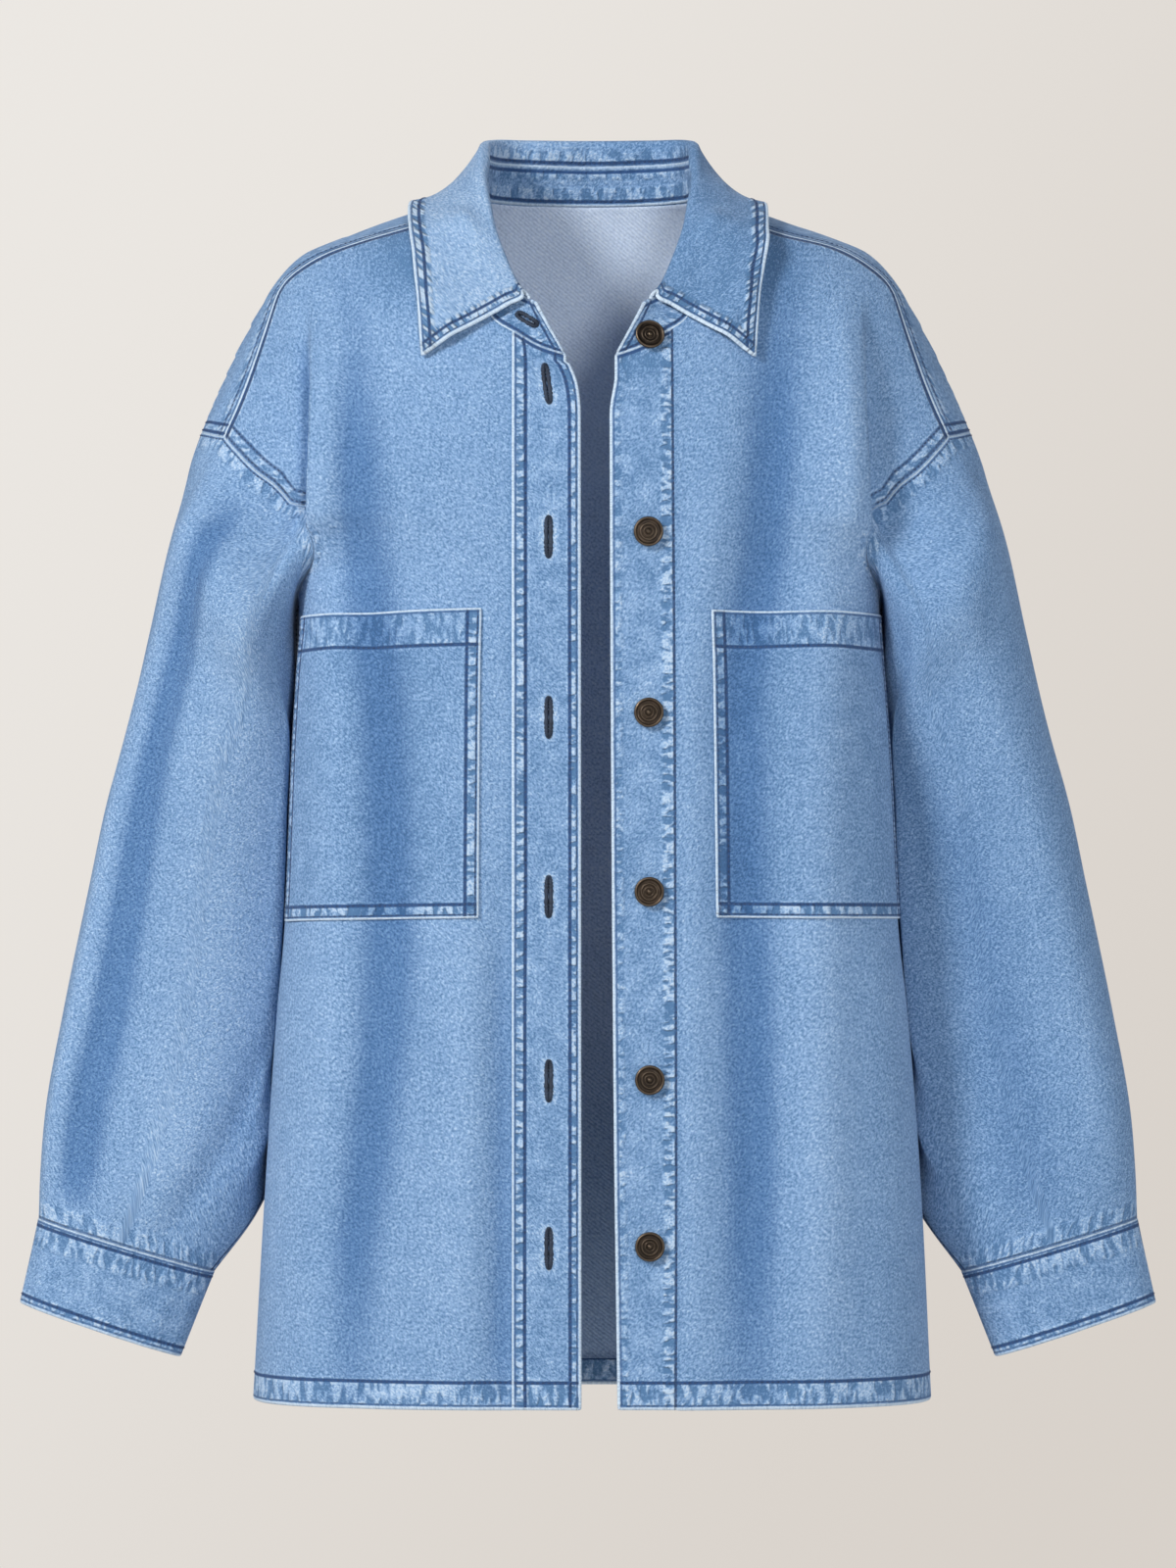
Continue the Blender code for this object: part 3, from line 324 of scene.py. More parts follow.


# The cloth's inner face: ribs of the twill, with painted light round the neck and painted shade low down
def wrongSide(name):
    made, nodes, shader = newMaterial(name)
    s, t = nodes.attribute("cloth")[:2]
    wobble = nodes.noise(nodes.vector(s, t, 3.0), 180.0, 1.0, 0.5)
    rib = nodes.math("SINE", (s * 0.62 + t * 0.78) * (2 * math.pi / ribWide) + wobble * 4.0) * 0.5 + 0.5
    fine = nodes.noise(nodes.vector(s, t, 7.0), 580.0, 2.0, 0.65)
    cloud = nodes.noise(nodes.vector(s, t, 1.0), 60.0, 2.0, 0.5)
    tone = (rib - 0.5) * 0.24 + (fine - 0.5) * 3.0 + (cloud - 0.5) * 0.6
    colour = nodes.mix(nodes.soft(tone, -0.5, 0.05), insideTones["dark"], insideTones["mid"])
    colour = nodes.mix(nodes.soft(tone, 0.0, 0.6), colour, insideTones["pale"])
    # paler toward the neck: painted light through the neck opening
    colour = nodes.mix(nodes.soft(t, -0.22, -0.12, 0.0, 0.45), colour, insideTones["neck"])
    # darker low down: painted shade deep inside the body
    colour = nodes.mix(nodes.soft(t, -0.38, -0.60, 0.0, 1.0), colour, insideTones["low"], "MULTIPLY")
    nodes.feed(shader, {"Base Color": colour, "Roughness": nodes.soft(fine, 0.2, 0.8, 0.85, 0.97),
                        "Normal": nodes.bump(rib * 0.00016 + fine * 0.0001), "Sheen Weight": 0.1,
                        "Specular IOR Level": 0.15})
    return made


def threadMaterial(name, dark, pale):
    made, nodes, shader = newMaterial(name)
    place = nodes.add("TexCoord").outputs["Object"]
    twist = nodes.noise(place, 1500.0, 2.0, 0.6)
    worn = nodes.noise(place, 120.0, 1.0, 0.5)
    colour = nodes.mix(nodes.soft(twist * 0.6 + worn * 0.4, 0.35, 0.68), dark, pale)
    nodes.feed(shader, {"Base Color": colour, "Roughness": nodes.soft(twist, 0.2, 0.8, 0.6, 0.8),
                        "Normal": nodes.bump(twist * 0.0001)})
    return made


def brassMaterial():
    made, nodes, shader = newMaterial("antique_brass")
    place = nodes.add("TexCoord").outputs["Object"]
    patina = nodes.noise(place, 420.0, 3.0, 0.6)
    cloud = nodes.noise(place, 130.0, 2.0, 0.5)
    proud = Value(nodes, nodes.add("Attribute", {"attribute_name": "proud"}).outputs["Fac"])
    bright = nodes.soft(proud + (patina - 0.5) * 0.5, 0.35, 1.0)
    colour = nodes.mix(nodes.soft(cloud, 0.35, 0.65), (0.018, 0.013, 0.0095, 1), (0.036, 0.025, 0.017, 1))
    colour = nodes.mix(bright * 0.7, colour, (0.125, 0.094, 0.067, 1))
    nodes.feed(shader, {"Base Color": colour, "Metallic": 0.85, "Normal": nodes.bump(patina * 0.00006, 0.6),
                        "Roughness": nodes.soft(patina, 0.3, 0.7, 0.34, 0.52)})
    return made


ribWide = 0.0020
inside = wrongSide("denim_wrong_side")
thread = threadMaterial("navy_thread", (0.010, 0.026, 0.075, 1), (0.050, 0.105, 0.235, 1))
binding = threadMaterial("binding_thread", (0.006, 0.012, 0.026, 1), (0.030, 0.050, 0.090, 1))
brass = brassMaterial()
print("stage: materials")


# The garment's sizes, in metres, in the frame of the solids

cloth = 0.0015
doubled = 0.0024       # a folded piece's two layers, pressed
seamGap = 0.0003
turnUp = 0.015
hemHeight = -0.7205
underarmHeight = -0.244
sideSeam = math.radians(100)
placketOuter = 0.0458
placketInner = 0.0505
placketRaise = 0.0010
pocketMiddle = -0.34

bodySections = [
    # height, reach sideways, front, depth where it is widest, back
    (-0.7205, 0.2040, -0.1000, 0.0030, 0.1010),
    (-0.5820, 0.1955, -0.1000, -0.0120, 0.0990),
    (-0.4900, 0.1890, -0.1000, -0.0190, 0.0975),
    (-0.4340, 0.1840, -0.1000, -0.0200, 0.0970),
    (-0.3400, 0.1800, -0.1000, -0.0200, 0.0985),
    (-0.2440, 0.1755, -0.1000, -0.0180, 0.1020),
    (-0.2250, 0.1765, -0.1000, -0.0120, 0.1035),
    (-0.2050, 0.1920, -0.1000, -0.0060, 0.1050),
    (-0.1860, 0.2260, -0.0990, 0.0000, 0.1060),
    (-0.1620, 0.2430, -0.0980, 0.0040, 0.1060),
    (-0.1380, 0.2355, -0.0950, 0.0050, 0.1040),
    (-0.1010, 0.2200, -0.0880, 0.0050, 0.0990),
    (-0.0690, 0.2040, -0.0770, 0.0050, 0.0920),
    (-0.0440, 0.1880, -0.0660, 0.0050, 0.0840),
    (-0.0300, 0.1735, -0.0580, 0.0050, 0.0780),
    (-0.0200, 0.1500, -0.0520, 0.0060, 0.0730),
    (-0.0050, 0.1075, -0.0400, 0.0080, 0.0640),
    (0.0045, 0.0760, -0.0260, 0.0120, 0.0570),
    (0.0100, 0.0500, -0.0120, 0.0140, 0.0500),
]
squareness = [
    # height, exponent
    (-0.7205, 2.8), (-0.2900, 2.8), (-0.2440, 2.4), (-0.2000, 2.18), (-0.1000, 2.0), (0.0100, 2.0),
]

leftLean = [
    # height, part of x added on the left side
    (-0.7205, 0.008), (-0.5820, 0.014), (-0.4340, 0.004), (-0.3000, -0.006), (-0.2000, -0.018),
    (-0.1380, -0.025), (-0.0440, -0.032), (-0.0050, -0.034), (0.0450, -0.026),
]

folds = [
    # side, face, half width, how far it stands out, then height and x along it
    (-1, "front", 0.010, 0.0035, [(-0.240, 0.162), (-0.170, 0.159), (-0.070, 0.156)]),
    (-1, "front", 0.004, -0.0040, [(-0.212, 0.1765), (-0.160, 0.1755), (-0.090, 0.1750)]),
    (1, "front", 0.010, 0.0035, [(-0.240, 0.162), (-0.170, 0.159), (-0.070, 0.156)]),
    (-1, "front", 0.014, 0.0025, [(-0.700, 0.163), (-0.571, 0.158), (-0.400, 0.151), (-0.250, 0.151)]),
    (-1, "front", 0.020, -0.0060, [(-0.700, 0.145), (-0.629, 0.144), (-0.571, 0.134), (-0.430, 0.121),
                                   (-0.305, 0.126), (-0.212, 0.138), (-0.080, 0.149)]),
    (-1, "front", 0.017, 0.0035, [(-0.690, 0.079), (-0.571, 0.074), (-0.455, 0.071), (-0.280, 0.080)]),
    (-1, "front", 0.010, -0.0045, [(-0.720, 0.054), (-0.440, 0.055)]),
    (1, "front", 0.020, -0.0060, [(-0.700, 0.094), (-0.571, 0.095), (-0.305, 0.089), (-0.212, 0.106),
                                  (-0.061, 0.118)]),
    (1, "front", 0.014, 0.0030, [(-0.700, 0.060), (-0.305, 0.060), (-0.212, 0.070), (-0.154, 0.080)]),
    (1, "front", 0.018, 0.0055, [(-0.690, 0.135), (-0.400, 0.135), (-0.130, 0.150)]),
    (-1, "back", 0.022, -0.005, [(-0.700, 0.120), (-0.400, 0.110), (-0.140, 0.130)]),
    (1, "back", 0.022, -0.005, [(-0.700, 0.105), (-0.400, 0.116), (-0.140, 0.128)]),
    (-1, "back", 0.025, 0.004, [(-0.700, 0.060), (-0.400, 0.056), (-0.200, 0.060)]),
    (1, "back", 0.025, 0.004, [(-0.700, 0.050), (-0.400, 0.060), (-0.200, 0.064)]),
]

chestStep = {
    "deep": 0.012, "wide": 0.0045, "path": [(-0.240, 0.1735), (-0.180, 0.1715), (-0.100, 0.1700)],
    "from": -0.228, "full": -0.205, "fading": -0.125, "to": -0.055, "outer": 0.235, "outerFade": 0.045,
}
# where the fold hides the armhole's seam and its stitches, and how the drawn seam fades into it
seamFold = {"top": -0.184, "behind": 0.012, "below": 0.006, "fadeFrom": -0.180, "fade": 0.010}


# Curves and the body's form

def ease(knots, values):
    knots = np.array(knots, float)
    values = np.array(values, float)
    steps = np.diff(knots)
    slopes = np.diff(values) / steps
    tangents = np.zeros(len(knots))
    for i in range(1, len(knots) - 1):
        if slopes[i - 1] * slopes[i] > 0:
            tangents[i] = 2 * slopes[i - 1] * slopes[i] / (slopes[i - 1] + slopes[i])
    tangents[0] = slopes[0]
    tangents[-1] = slopes[-1]

    def at(place):
        place = np.clip(place, knots[0], knots[-1])
        i = np.clip(np.searchsorted(knots, place) - 1, 0, len(steps) - 1)
        t = (place - knots[i]) / steps[i]
        a = values[i] * (1 + 2 * t) * (1 - t) ** 2 + values[i + 1] * t * t * (3 - 2 * t)
        b = steps[i] * (tangents[i] * t * (1 - t) ** 2 - tangents[i + 1] * t * t * (1 - t))
        return a + b
    return at


def column(rows, index):
    return [row[index] for row in rows]


def easeRows(rows, index=1):
    return ease(column(rows, 0), column(rows, index))


# lengths along a line of points, from 0
def runAlong(places):
    return np.concatenate([[0], np.cumsum(np.linalg.norm(np.diff(places, axis=0), axis=-1))])


# points (or normals) read off between their knots
def readOff(wanted, knots, values):
    return np.stack([np.interp(wanted, knots, values[:, i]) for i in range(3)], axis=-1)


def through(rows):
    turns = np.radians(column(rows, 0))
    heights = np.array(column(rows, 1))
    lengths = runAlong(form(heights, turns))
    lengths = lengths / lengths[-1]
    return ease(lengths, heights), ease(lengths, turns)


reachAt, frontAt, wideAt, backAt = [easeRows(bodySections, i) for i in (1, 2, 3, 4)]
exponentAt = easeRows(squareness)
leanAt = easeRows(leftLean)


def form(height, turn):
    height, turn = np.broadcast_arrays(np.asarray(height, float), np.asarray(turn, float))
    power = exponentAt(height)
    across = np.sin(turn)
    along = np.cos(turn)
    size = (np.abs(across) ** power + np.abs(along) ** power) ** (-1 / power)
    wide = wideAt(height)
    depth = np.where(along > 0, wide - frontAt(height), backAt(height) - wide)
    return np.stack([reachAt(height) * size * across, wide - depth * size * along, height], axis=-1)


def turnAt(x, height, back=False):
    power = exponentAt(height)
    part = np.clip(np.abs(x) / reachAt(height), 0, 1)
    rest = (1 - part ** power) ** (1 / power)
    turn = np.arctan2(part, rest)
    return math.pi - turn if back else turn


def foldRise(side, places, turn):
    x = places[..., 0]
    z = places[..., 2]
    front = turn < math.pi / 2
    rise = np.zeros(x.shape)
    for foldSide, face, width, height, path in folds:
        if foldSide != side:
            continue
        knots = column(path, 0)
        line = easeRows(path)(z)
        ends = 0.25 * (knots[-1] - knots[0])
        opening = np.clip((z - knots[0] + ends / 2) / ends, 0, 1)
        closing = np.clip((knots[-1] + ends / 2 - z) / ends, 0, 1)
        shown = front if face == "front" else ~front
        rise += np.where(shown, height * opening * closing * np.exp(-((x - line) / width) ** 2), 0)
    return rise


# the drop outward of the chest's fold, where it lies over the sleeve
def stepRise(places, turn):
    x = places[..., 0]
    z = places[..., 2]
    line = np.interp(z, column(chestStep["path"], 0), column(chestStep["path"], 1))
    over = np.clip((x - line) / chestStep["wide"] + 0.5, 0, 1)
    over = over * over * (3 - 2 * over)
    lowFade = np.clip((z - chestStep["from"]) / (chestStep["full"] - chestStep["from"]), 0, 1)
    highFade = np.clip((chestStep["to"] - z) / (chestStep["to"] - chestStep["fading"]), 0, 1)
    beyond = np.clip((chestStep["outer"] - x) / chestStep["outerFade"], 0, 1)
    return np.where(turn < math.pi / 2, -chestStep["deep"] * over * lowFade * highFade * beyond, 0)


def lean(side, places):
    places = places.copy()
    if side > 0:
        places[..., 0] *= 1 + leanAt(places[..., 2])
    return places


def unit(vectors):
    return vectors / np.maximum(np.linalg.norm(vectors, axis=-1, keepdims=True), 1e-12)


# The outer face of the body's cloth, its normals and how far its folds stand out
def surface(side, height, turn):
    height, turn = np.broadcast_arrays(np.asarray(height, float), np.asarray(turn, float))
    step = 1e-4

    def bare(h, t):
        across = form(h, t + step) - form(h, t - step)
        up = form(h + step, t) - form(h - step, t)
        return form(h, t), unit(np.cross(across, up))

    def folded(h, t):
        place, out = bare(h, t)
        return lean(side, place + out * (foldRise(side, place, t) + stepRise(place, t))[..., None])

    place = folded(height, turn)
    across = folded(height, turn + 10 * step) - folded(height, turn - 10 * step)
    up = folded(height + 10 * step, turn) - folded(height - 10 * step, turn)
    out = unit(np.cross(across, up))
    mirror = np.array([side, 1, 1])
    return place * mirror, out * mirror, foldRise(side, form(height, turn), turn)


# metres round the body from the centre front, along its level section
girthHeights = np.linspace(hemHeight, 0.0100, 90)
girthTurns = np.linspace(0, math.pi, 181)
girthTable = form(girthHeights[:, None], girthTurns[None, :])
girthTable = np.linalg.norm(np.diff(girthTable, axis=1), axis=-1)
girthTable = np.concatenate([np.zeros((len(girthHeights), 1)), np.cumsum(girthTable, axis=1)], axis=1)


def girth(height, turn):
    row = np.clip((height - girthHeights[0]) / (girthHeights[1] - girthHeights[0]),
                  0, len(girthHeights) - 1.001)
    place = np.clip(turn / (girthTurns[1] - girthTurns[0]), 0, len(girthTurns) - 1.001)
    i, j = row.astype(int), place.astype(int)
    u, v = row - i, place - j
    lower = girthTable[i, j] * (1 - v) + girthTable[i, j + 1] * v
    upper = girthTable[i + 1, j] * (1 - v) + girthTable[i + 1, j + 1] * v
    return lower * (1 - u) + upper * u


# Cloth from grids of points

# Parts of a length, closer together near each fine place
def spread(length, step, fine=(), tight=0.0010, reach=0.004):
    x = np.linspace(0, length, 3001)
    rate = np.full(x.shape, 1 / step)
    for place in fine:
        rate = np.maximum(rate, np.exp(-np.abs(x - place) / reach) / tight)
    total = np.concatenate([[0], np.cumsum((rate[1:] + rate[:-1]) / 2 * np.diff(x))])
    count = max(2, int(round(total[-1])))
    return np.interp(np.linspace(0, total[-1], count + 1), total, x) / length


def runs(grid, axis):
    steps = np.linalg.norm(np.diff(grid, axis=axis), axis=-1)
    total = np.cumsum(steps, axis=axis)
    zero = np.zeros_like(np.take(total, [0], axis=axis))
    along = np.concatenate([zero, total], axis=axis)
    return along, np.take(along, [-1], axis=axis) - along


def gridNormals(grid, closed=False):
    across = np.roll(grid, -1, axis=1) - np.roll(grid, 1, axis=1) if closed else np.gradient(grid, axis=1)
    return unit(np.cross(across, np.gradient(grid, axis=0)))


# if normals mostly point against the outward directions
def against(normals, outward):
    return np.mean(np.sum(normals * outward, axis=-1)) < 0


# the normals on the wanted side, and if they had to be turned
def turnedOut(normals, wrong):
    return (-normals, True) if wrong else (normals, False)


# A strip of cloth: points by rows from its lower edge and columns from its left one
class Strip:
    def __init__(self, grid, normals, proud=None, closed=False, centred=False):
        self.grid = grid
        self.normals = normals
        self.closed = closed
        looped = np.concatenate([grid, grid[:, :1]], axis=1) if closed else grid
        left, right = runs(looped, 1)
        self.left = left[:, :-1] if closed else left
        self.right = right[:, :-1] if closed else right
        self.low, self.high = runs(grid, 0)
        self.proud = np.zeros(grid.shape[:2]) if proud is None else proud
        self.across = (self.left - self.right) / 2 if centred else self.left
        self.along = self.low
        self.hidden = np.zeros(grid.shape[:2])

    def attributes(self):
        return {
            "cloth": np.stack([self.across, self.along, self.proud], axis=-1).reshape(-1, 3),
            "sides": np.stack([self.left, self.right, self.hidden], axis=-1).reshape(-1, 3),
            "ends": np.stack([self.low, self.high, self.proud * 0], axis=-1).reshape(-1, 3),
        }

    def quads(self, flip=False):
        rows, columns = self.grid.shape[:2]
        last = columns if self.closed else columns - 1
        i, j = np.meshgrid(np.arange(rows - 1), np.arange(last), indexing="ij")
        k = (j + 1) % columns
        quads = np.stack([i * columns + j, i * columns + k,
                          (i + 1) * columns + k, (i + 1) * columns + j], axis=-1)
        quads = quads.reshape(-1, 4)
        return quads[:, ::-1] if flip else quads

    # The line at a distance from one edge: points with their normals
    def line(self, edge, distance, start=0.0, stop=1.0):
        far = {"left": self.left, "right": self.right, "low": self.low, "high": self.high}[edge]
        places = np.concatenate([self.grid, self.normals], axis=-1)
        if edge in ("low", "high"):
            far, places = far.T, places.transpose(1, 0, 2)
        if edge in ("right", "high"):
            far, places = far[:, ::-1], places[:, ::-1]
        last = len(far) - 1
        found = []
        for i in range(int(start * last), int(round(stop * last)) + 1):
            if far[i, -1] < distance:
                continue
            k = min(int(np.searchsorted(far[i], distance, side="right")) - 1, far.shape[1] - 2)
            t = (distance - far[i, k]) / max(far[i, k + 1] - far[i, k], 1e-9)
            found.append(places[i, k] + (places[i, k + 1] - places[i, k]) * t)
        return np.array(found)


rimAngles = (45, 90, 135)


# One closed wall from an outer face of quads, its free edges rounded. The inner face has the second
# material where innerUses says so, and edgeRound is how far the rim bulges at each point.
def shell(name, points, quads, normals, thickness, attributes, materials, innerUses=None, edgeRound=1.0):
    count = len(points)
    thickness = np.broadcast_to(thickness, (count,)).astype(float)
    edgeRound = np.broadcast_to(edgeRound, (count,))
    used = np.zeros(count, bool)
    used[quads.ravel()] = True
    quads = (np.cumsum(used) - 1)[quads]
    points, normals, thickness, edgeRound = points[used], normals[used], thickness[used], edgeRound[used]
    count = len(points)
    pairs = np.concatenate([quads[:, [i, (i + 1) % 4]] for i in range(4)])
    keys = pairs[:, 0].astype(np.int64) * count + pairs[:, 1]
    back = pairs[:, 1].astype(np.int64) * count + pairs[:, 0]
    rim = pairs[~np.isin(keys, back)]
    rim = rim[rim[:, 0] != rim[:, 1]]
    outward = np.zeros_like(points)
    for end in (0, 1):
        np.add.at(outward, rim[:, end], np.cross(points[rim[:, 1]] - points[rim[:, 0]], normals[rim[:, 0]]))
    outward = unit(outward)
    edge = np.unique(rim)
    place = np.full(count, -1)
    place[edge] = np.arange(len(edge))
    half = thickness[edge] / 2
    middle = points[edge] - normals[edge] * half[:, None]
    arcs = []
    for angle in np.radians(rimAngles):
        bulge = half * edgeRound[edge] * math.sin(angle)
        arcs.append(middle + normals[edge] * (half * math.cos(angle))[:, None]
                    + outward[edge] * bulge[:, None])
    allPoints = np.concatenate([points, points - normals * thickness[:, None]] + arcs)

    def level(k, vertices):
        if k == 0:
            return vertices
        if k == len(rimAngles) + 1:
            return vertices + count
        return 2 * count + (k - 1) * len(edge) + place[vertices]

    faces = [quads, quads[:, ::-1] + count]
    for k in range(len(rimAngles) + 1):
        corners = (level(k, rim[:, 1]), level(k, rim[:, 0]), level(k + 1, rim[:, 0]), level(k + 1, rim[:, 1]))
        faces.append(np.stack(corners, axis=1))
    faces = np.concatenate(faces)
    slots = np.zeros(len(faces), int)
    if innerUses is not None:
        slots[len(quads):2 * len(quads)] = (
            innerUses(points[quads].mean(axis=1)) if callable(innerUses) else innerUses)
    origin = np.concatenate([np.arange(count), np.arange(count)] + [edge] * len(rimAngles))
    attributes = {key: value[used][origin] for key, value in attributes.items()}
    return meshObject(name, allPoints, faces, attributes, materials, slots)


def meshObject(name, points, faces, attributes, materials, slots=None):
    mesh = bpy.data.meshes.new(name)
    faces = np.asarray(faces)
    mesh.vertices.add(len(points))
    mesh.vertices.foreach_set("co", np.asarray(points, np.float32).ravel())
    mesh.loops.add(faces.size)
    mesh.loops.foreach_set("vertex_index", faces.ravel().astype(np.int32))
    mesh.polygons.add(len(faces))
    mesh.polygons.foreach_set("loop_start", np.arange(0, faces.size, faces.shape[1], dtype=np.int32))
    for item in materials:
        mesh.materials.append(item)
    if slots is not None:
        mesh.polygons.foreach_set("material_index", slots.astype(np.int32))
    for key, value in attributes.items():
        kind, field = ("FLOAT_VECTOR", "vector") if value.ndim == 2 else ("FLOAT", "value")
        mesh.attributes.new(key, kind, "POINT").data.foreach_set(field, np.asarray(value, np.float32).ravel())
    mesh.update(calc_edges=True)
    mesh.validate()
    mesh.shade_smooth()
    made = bpy.data.objects.new(name, mesh)
    scene.collection.objects.link(made)
    return made


# quads between rings of points, each ring closed, and the last joined to the first if looped
def tubeFaces(rings, sides, looped=False, flip=False):
    faces = []
    for i in range(rings if looped else rings - 1):
        j = (i + 1) % rings
        for k in range(sides):
            m = (k + 1) % sides
            face = (i * sides + k, i * sides + m, j * sides + m, j * sides + k)
            faces.append((face[0], face[3], face[2], face[1]) if flip else face)
    return np.array(faces)


# Stitches

threads = {}
stitch = {
    "pitch": 0.0031, "long": 0.0024, "thick": 0.00042, "lift": 0.00014,
    "drop": 0.00022, "taper": 0.55,      # how far its ends go into the cloth, and how thick they are
}
stitchFaces = np.concatenate([tubeFaces(3, 4), [(3, 2, 1, 0), (8, 9, 10, 11)]])
stitchPoints = 12


# Stitches along a line of points with normals, each a short tube that dips into the cloth at both ends
def stitchLine(owner, line, keep=None, closed=False):
    if len(line) < 2:
        return
    if closed:
        line = np.concatenate([line, line[:1]])
    places, normals = line[:, :3], unit(line[:, 3:])
    run = runAlong(places)
    count = max(1, int(run[-1] / stitch["pitch"]))
    middle = (np.arange(count) + 0.5) * run[-1] / count
    half = stitch["long"] / 2 * (run[-1] / count) / stitch["pitch"]
    if keep:
        middle = middle[keep(readOff(middle, run, places))]
    if not len(middle):
        return
    first, last = readOff(middle - half, run, places), readOff(middle + half, run, places)
    out = unit(readOff(middle, run, normals))
    centre = readOff(middle, run, places) + out * stitch["lift"]
    side = np.cross(out, unit(last - first))
    rings = []
    for spot, drop, width in ((first, stitch["drop"], stitch["taper"]), (centre, 0.0, 1.0),
                              (last, stitch["drop"], stitch["taper"])):
        spot = spot - out * drop
        for a in (0, 90, 180, 270):
            way = math.cos(math.radians(a)) * side + math.sin(math.radians(a)) * out
            rings.append(spot + way * stitch["thick"] * width)
    threads.setdefault(owner, []).append(np.stack(rings, axis=1).reshape(-1, 3))


def sewn(owner):
    points = np.concatenate(threads.pop(owner))
    starts = np.arange(0, len(points), stitchPoints)
    faces = (starts[:, None, None] + stitchFaces).reshape(-1, 4)
    made = meshObject(f"stitches_{owner}", points, faces, {}, [thread])
    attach(made, "root")
    return made


# Body panels

# Seams drawn on the body: degrees round from the centre front, and height
neckline = [
    (180, 0.0030), (150, 0.0034), (125, 0.0045), (100, 0.0066), (80, 0.0062), (60, 0.0010),
    (45, -0.0060), (32, -0.0180), (24, -0.0360), (20, -0.0580), (16, -0.0755), (12, -0.0835),
    (8, -0.0915), (4, -0.0965),
]
shoulderSeam = [
    (45, -0.0060), (50.5, -0.0160), (62.5, -0.0275), (70, -0.0384), (74.5, -0.0496),
    (71.8, -0.0796), (70.2, -0.1110), (69.5, -0.1410),
]
armholeFront = [
    (100, -0.2440), (86, -0.2375), (70, -0.2260), (58, -0.2080), (53.5, -0.1900), (53.5, -0.1760),
    (56, -0.1640), (61, -0.1530), (69.5, -0.1410),
]
armholeBack = [
    (100, -0.2440), (112, -0.2320), (122, -0.2120), (127, -0.1880), (124, -0.1650),
    (110, -0.1480), (90, -0.1380), (69.5, -0.1410),
]
centreEdges = {
    # height, distance of the front edge from the centre
    -1: [(-0.7205, 0.0067), (-0.1300, 0.0072), (-0.1160, 0.0085), (-0.0965, 0.0157)],
    1: [(-0.7205, 0.0168), (-0.5500, 0.0145), (-0.2500, 0.0128), (-0.1190, 0.0126), (-0.0965, 0.0157)],
}
neckZ, neckT = through(neckline)
seamZ, seamT = through(shoulderSeam)
frontArmZ, frontArmT = through(armholeFront)
backArmZ, backArmT = through(armholeBack)
neckSamples = np.linspace(0, 1, 801)
neckTurns = neckT(neckSamples)
neckAcross = form(neckZ(neckSamples), neckTurns)[:, 0]
shoulderPlace = float(np.interp(-seamT(0.0), -neckTurns, neckSamples))


def neckPlace(x):
    front = neckSamples > shoulderPlace
    return np.interp(-np.asarray(x), -neckAcross[front], neckSamples[front])


def centreEdge(side, height):
    return easeRows(centreEdges[side])(height)


# Rows from the hem to the shoulder seam, fanning round the armhole; columns from the centre to the side
def fanNet(side, edgeX, parts, lower, fan, back=False):
    armZ, armT = (backArmZ, backArmT) if back else (frontArmZ, frontArmT)
    meet = 0.0 if back else float(neckPlace(edgeX))
    neckTop = float(neckZ(meet))
    along = np.linspace(meet, shoulderPlace, 200)
    run = form(neckZ(along), neckT(along))
    roundNeck = float(np.sum(np.linalg.norm(np.diff(run, axis=0), axis=1)))
    corner = (neckTop - underarmHeight) / (neckTop - underarmHeight + roundNeck)
    net = []
    for z in lower:
        start = math.pi if back else float(turnAt(edgeX, z))
        net.append((z + 0 * parts, start + (sideSeam - start) * parts))
    turning = corner ** armPace
    fan = np.sort(np.append(fan[np.abs(fan - turning) > 0.004], turning))
    seamBulgeZ = seamZ(parts) - (seamZ(0.0) + (seamZ(1.0) - seamZ(0.0)) * parts)
    seamBulgeT = seamT(parts) - (seamT(0.0) + (seamT(1.0) - seamT(0.0)) * parts)
    for arm in fan:
        t = arm ** (1 / armPace)
        if t <= corner + 1e-9:
            leftZ = underarmHeight + (neckTop - underarmHeight) * t / corner
            leftT = math.pi if back else float(turnAt(edgeX, leftZ))
        else:
            place = meet + (shoulderPlace - meet) * (t - corner) / (1 - corner)
            leftZ, leftT = float(neckZ(place)), float(neckT(place))
        heights = leftZ + (float(armZ(arm)) - leftZ) * parts + arm ** 3 * seamBulgeZ
        turns = leftT + (float(armT(arm)) - leftT) * parts + arm ** 3 * seamBulgeT
        net.append((heights, turns))
    heights, turns = np.array(net).transpose(1, 0, 2)
    return heights, turns, len(lower) + int(np.argmin(np.abs(fan - turning)))


def acrossSeam(seam, beside):
    along = unit(np.gradient(seam, axis=0))
    reach = beside - seam
    return unit(reach - along * np.sum(reach * along, axis=1, keepdims=True))


def inset(places, seamRows):
    moved = places.copy()
    moved[:seamRows, -1] += acrossSeam(places[:seamRows, -1], places[:seamRows, -2]) * seamGap / 2
    moved[-1] += acrossSeam(places[-1], places[-2]) * seamGap / 2
    return moved


def edgeStrip(side, edgeX, levels, across):
    heights, turns = [], []
    neckTop = float(neckZ(neckPlace(edgeX)))
    for z, share in levels:
        x0 = float(centreEdge(side, z))
        x = x0 + (edgeX - x0) * across
        height = z + share * (neckZ(neckPlace(x)) - neckTop)
        heights.append(height)
        turns.append(turnAt(x, height))
    return np.array(heights), np.array(turns)


# double cloth in the hem's turn-up
def thickAt(heights):
    return cloth + cloth * (1 - np.clip((heights - hemHeight - turnUp + 0.0004) / 0.0008, 0, 1))


# the wrong side shows above the turn-up
def hemInside(centres):
    return np.where(centres[:, 2] < hemHeight + turnUp, 0, 1)


armPace = 0.65      # how the rows crowd toward the underarm
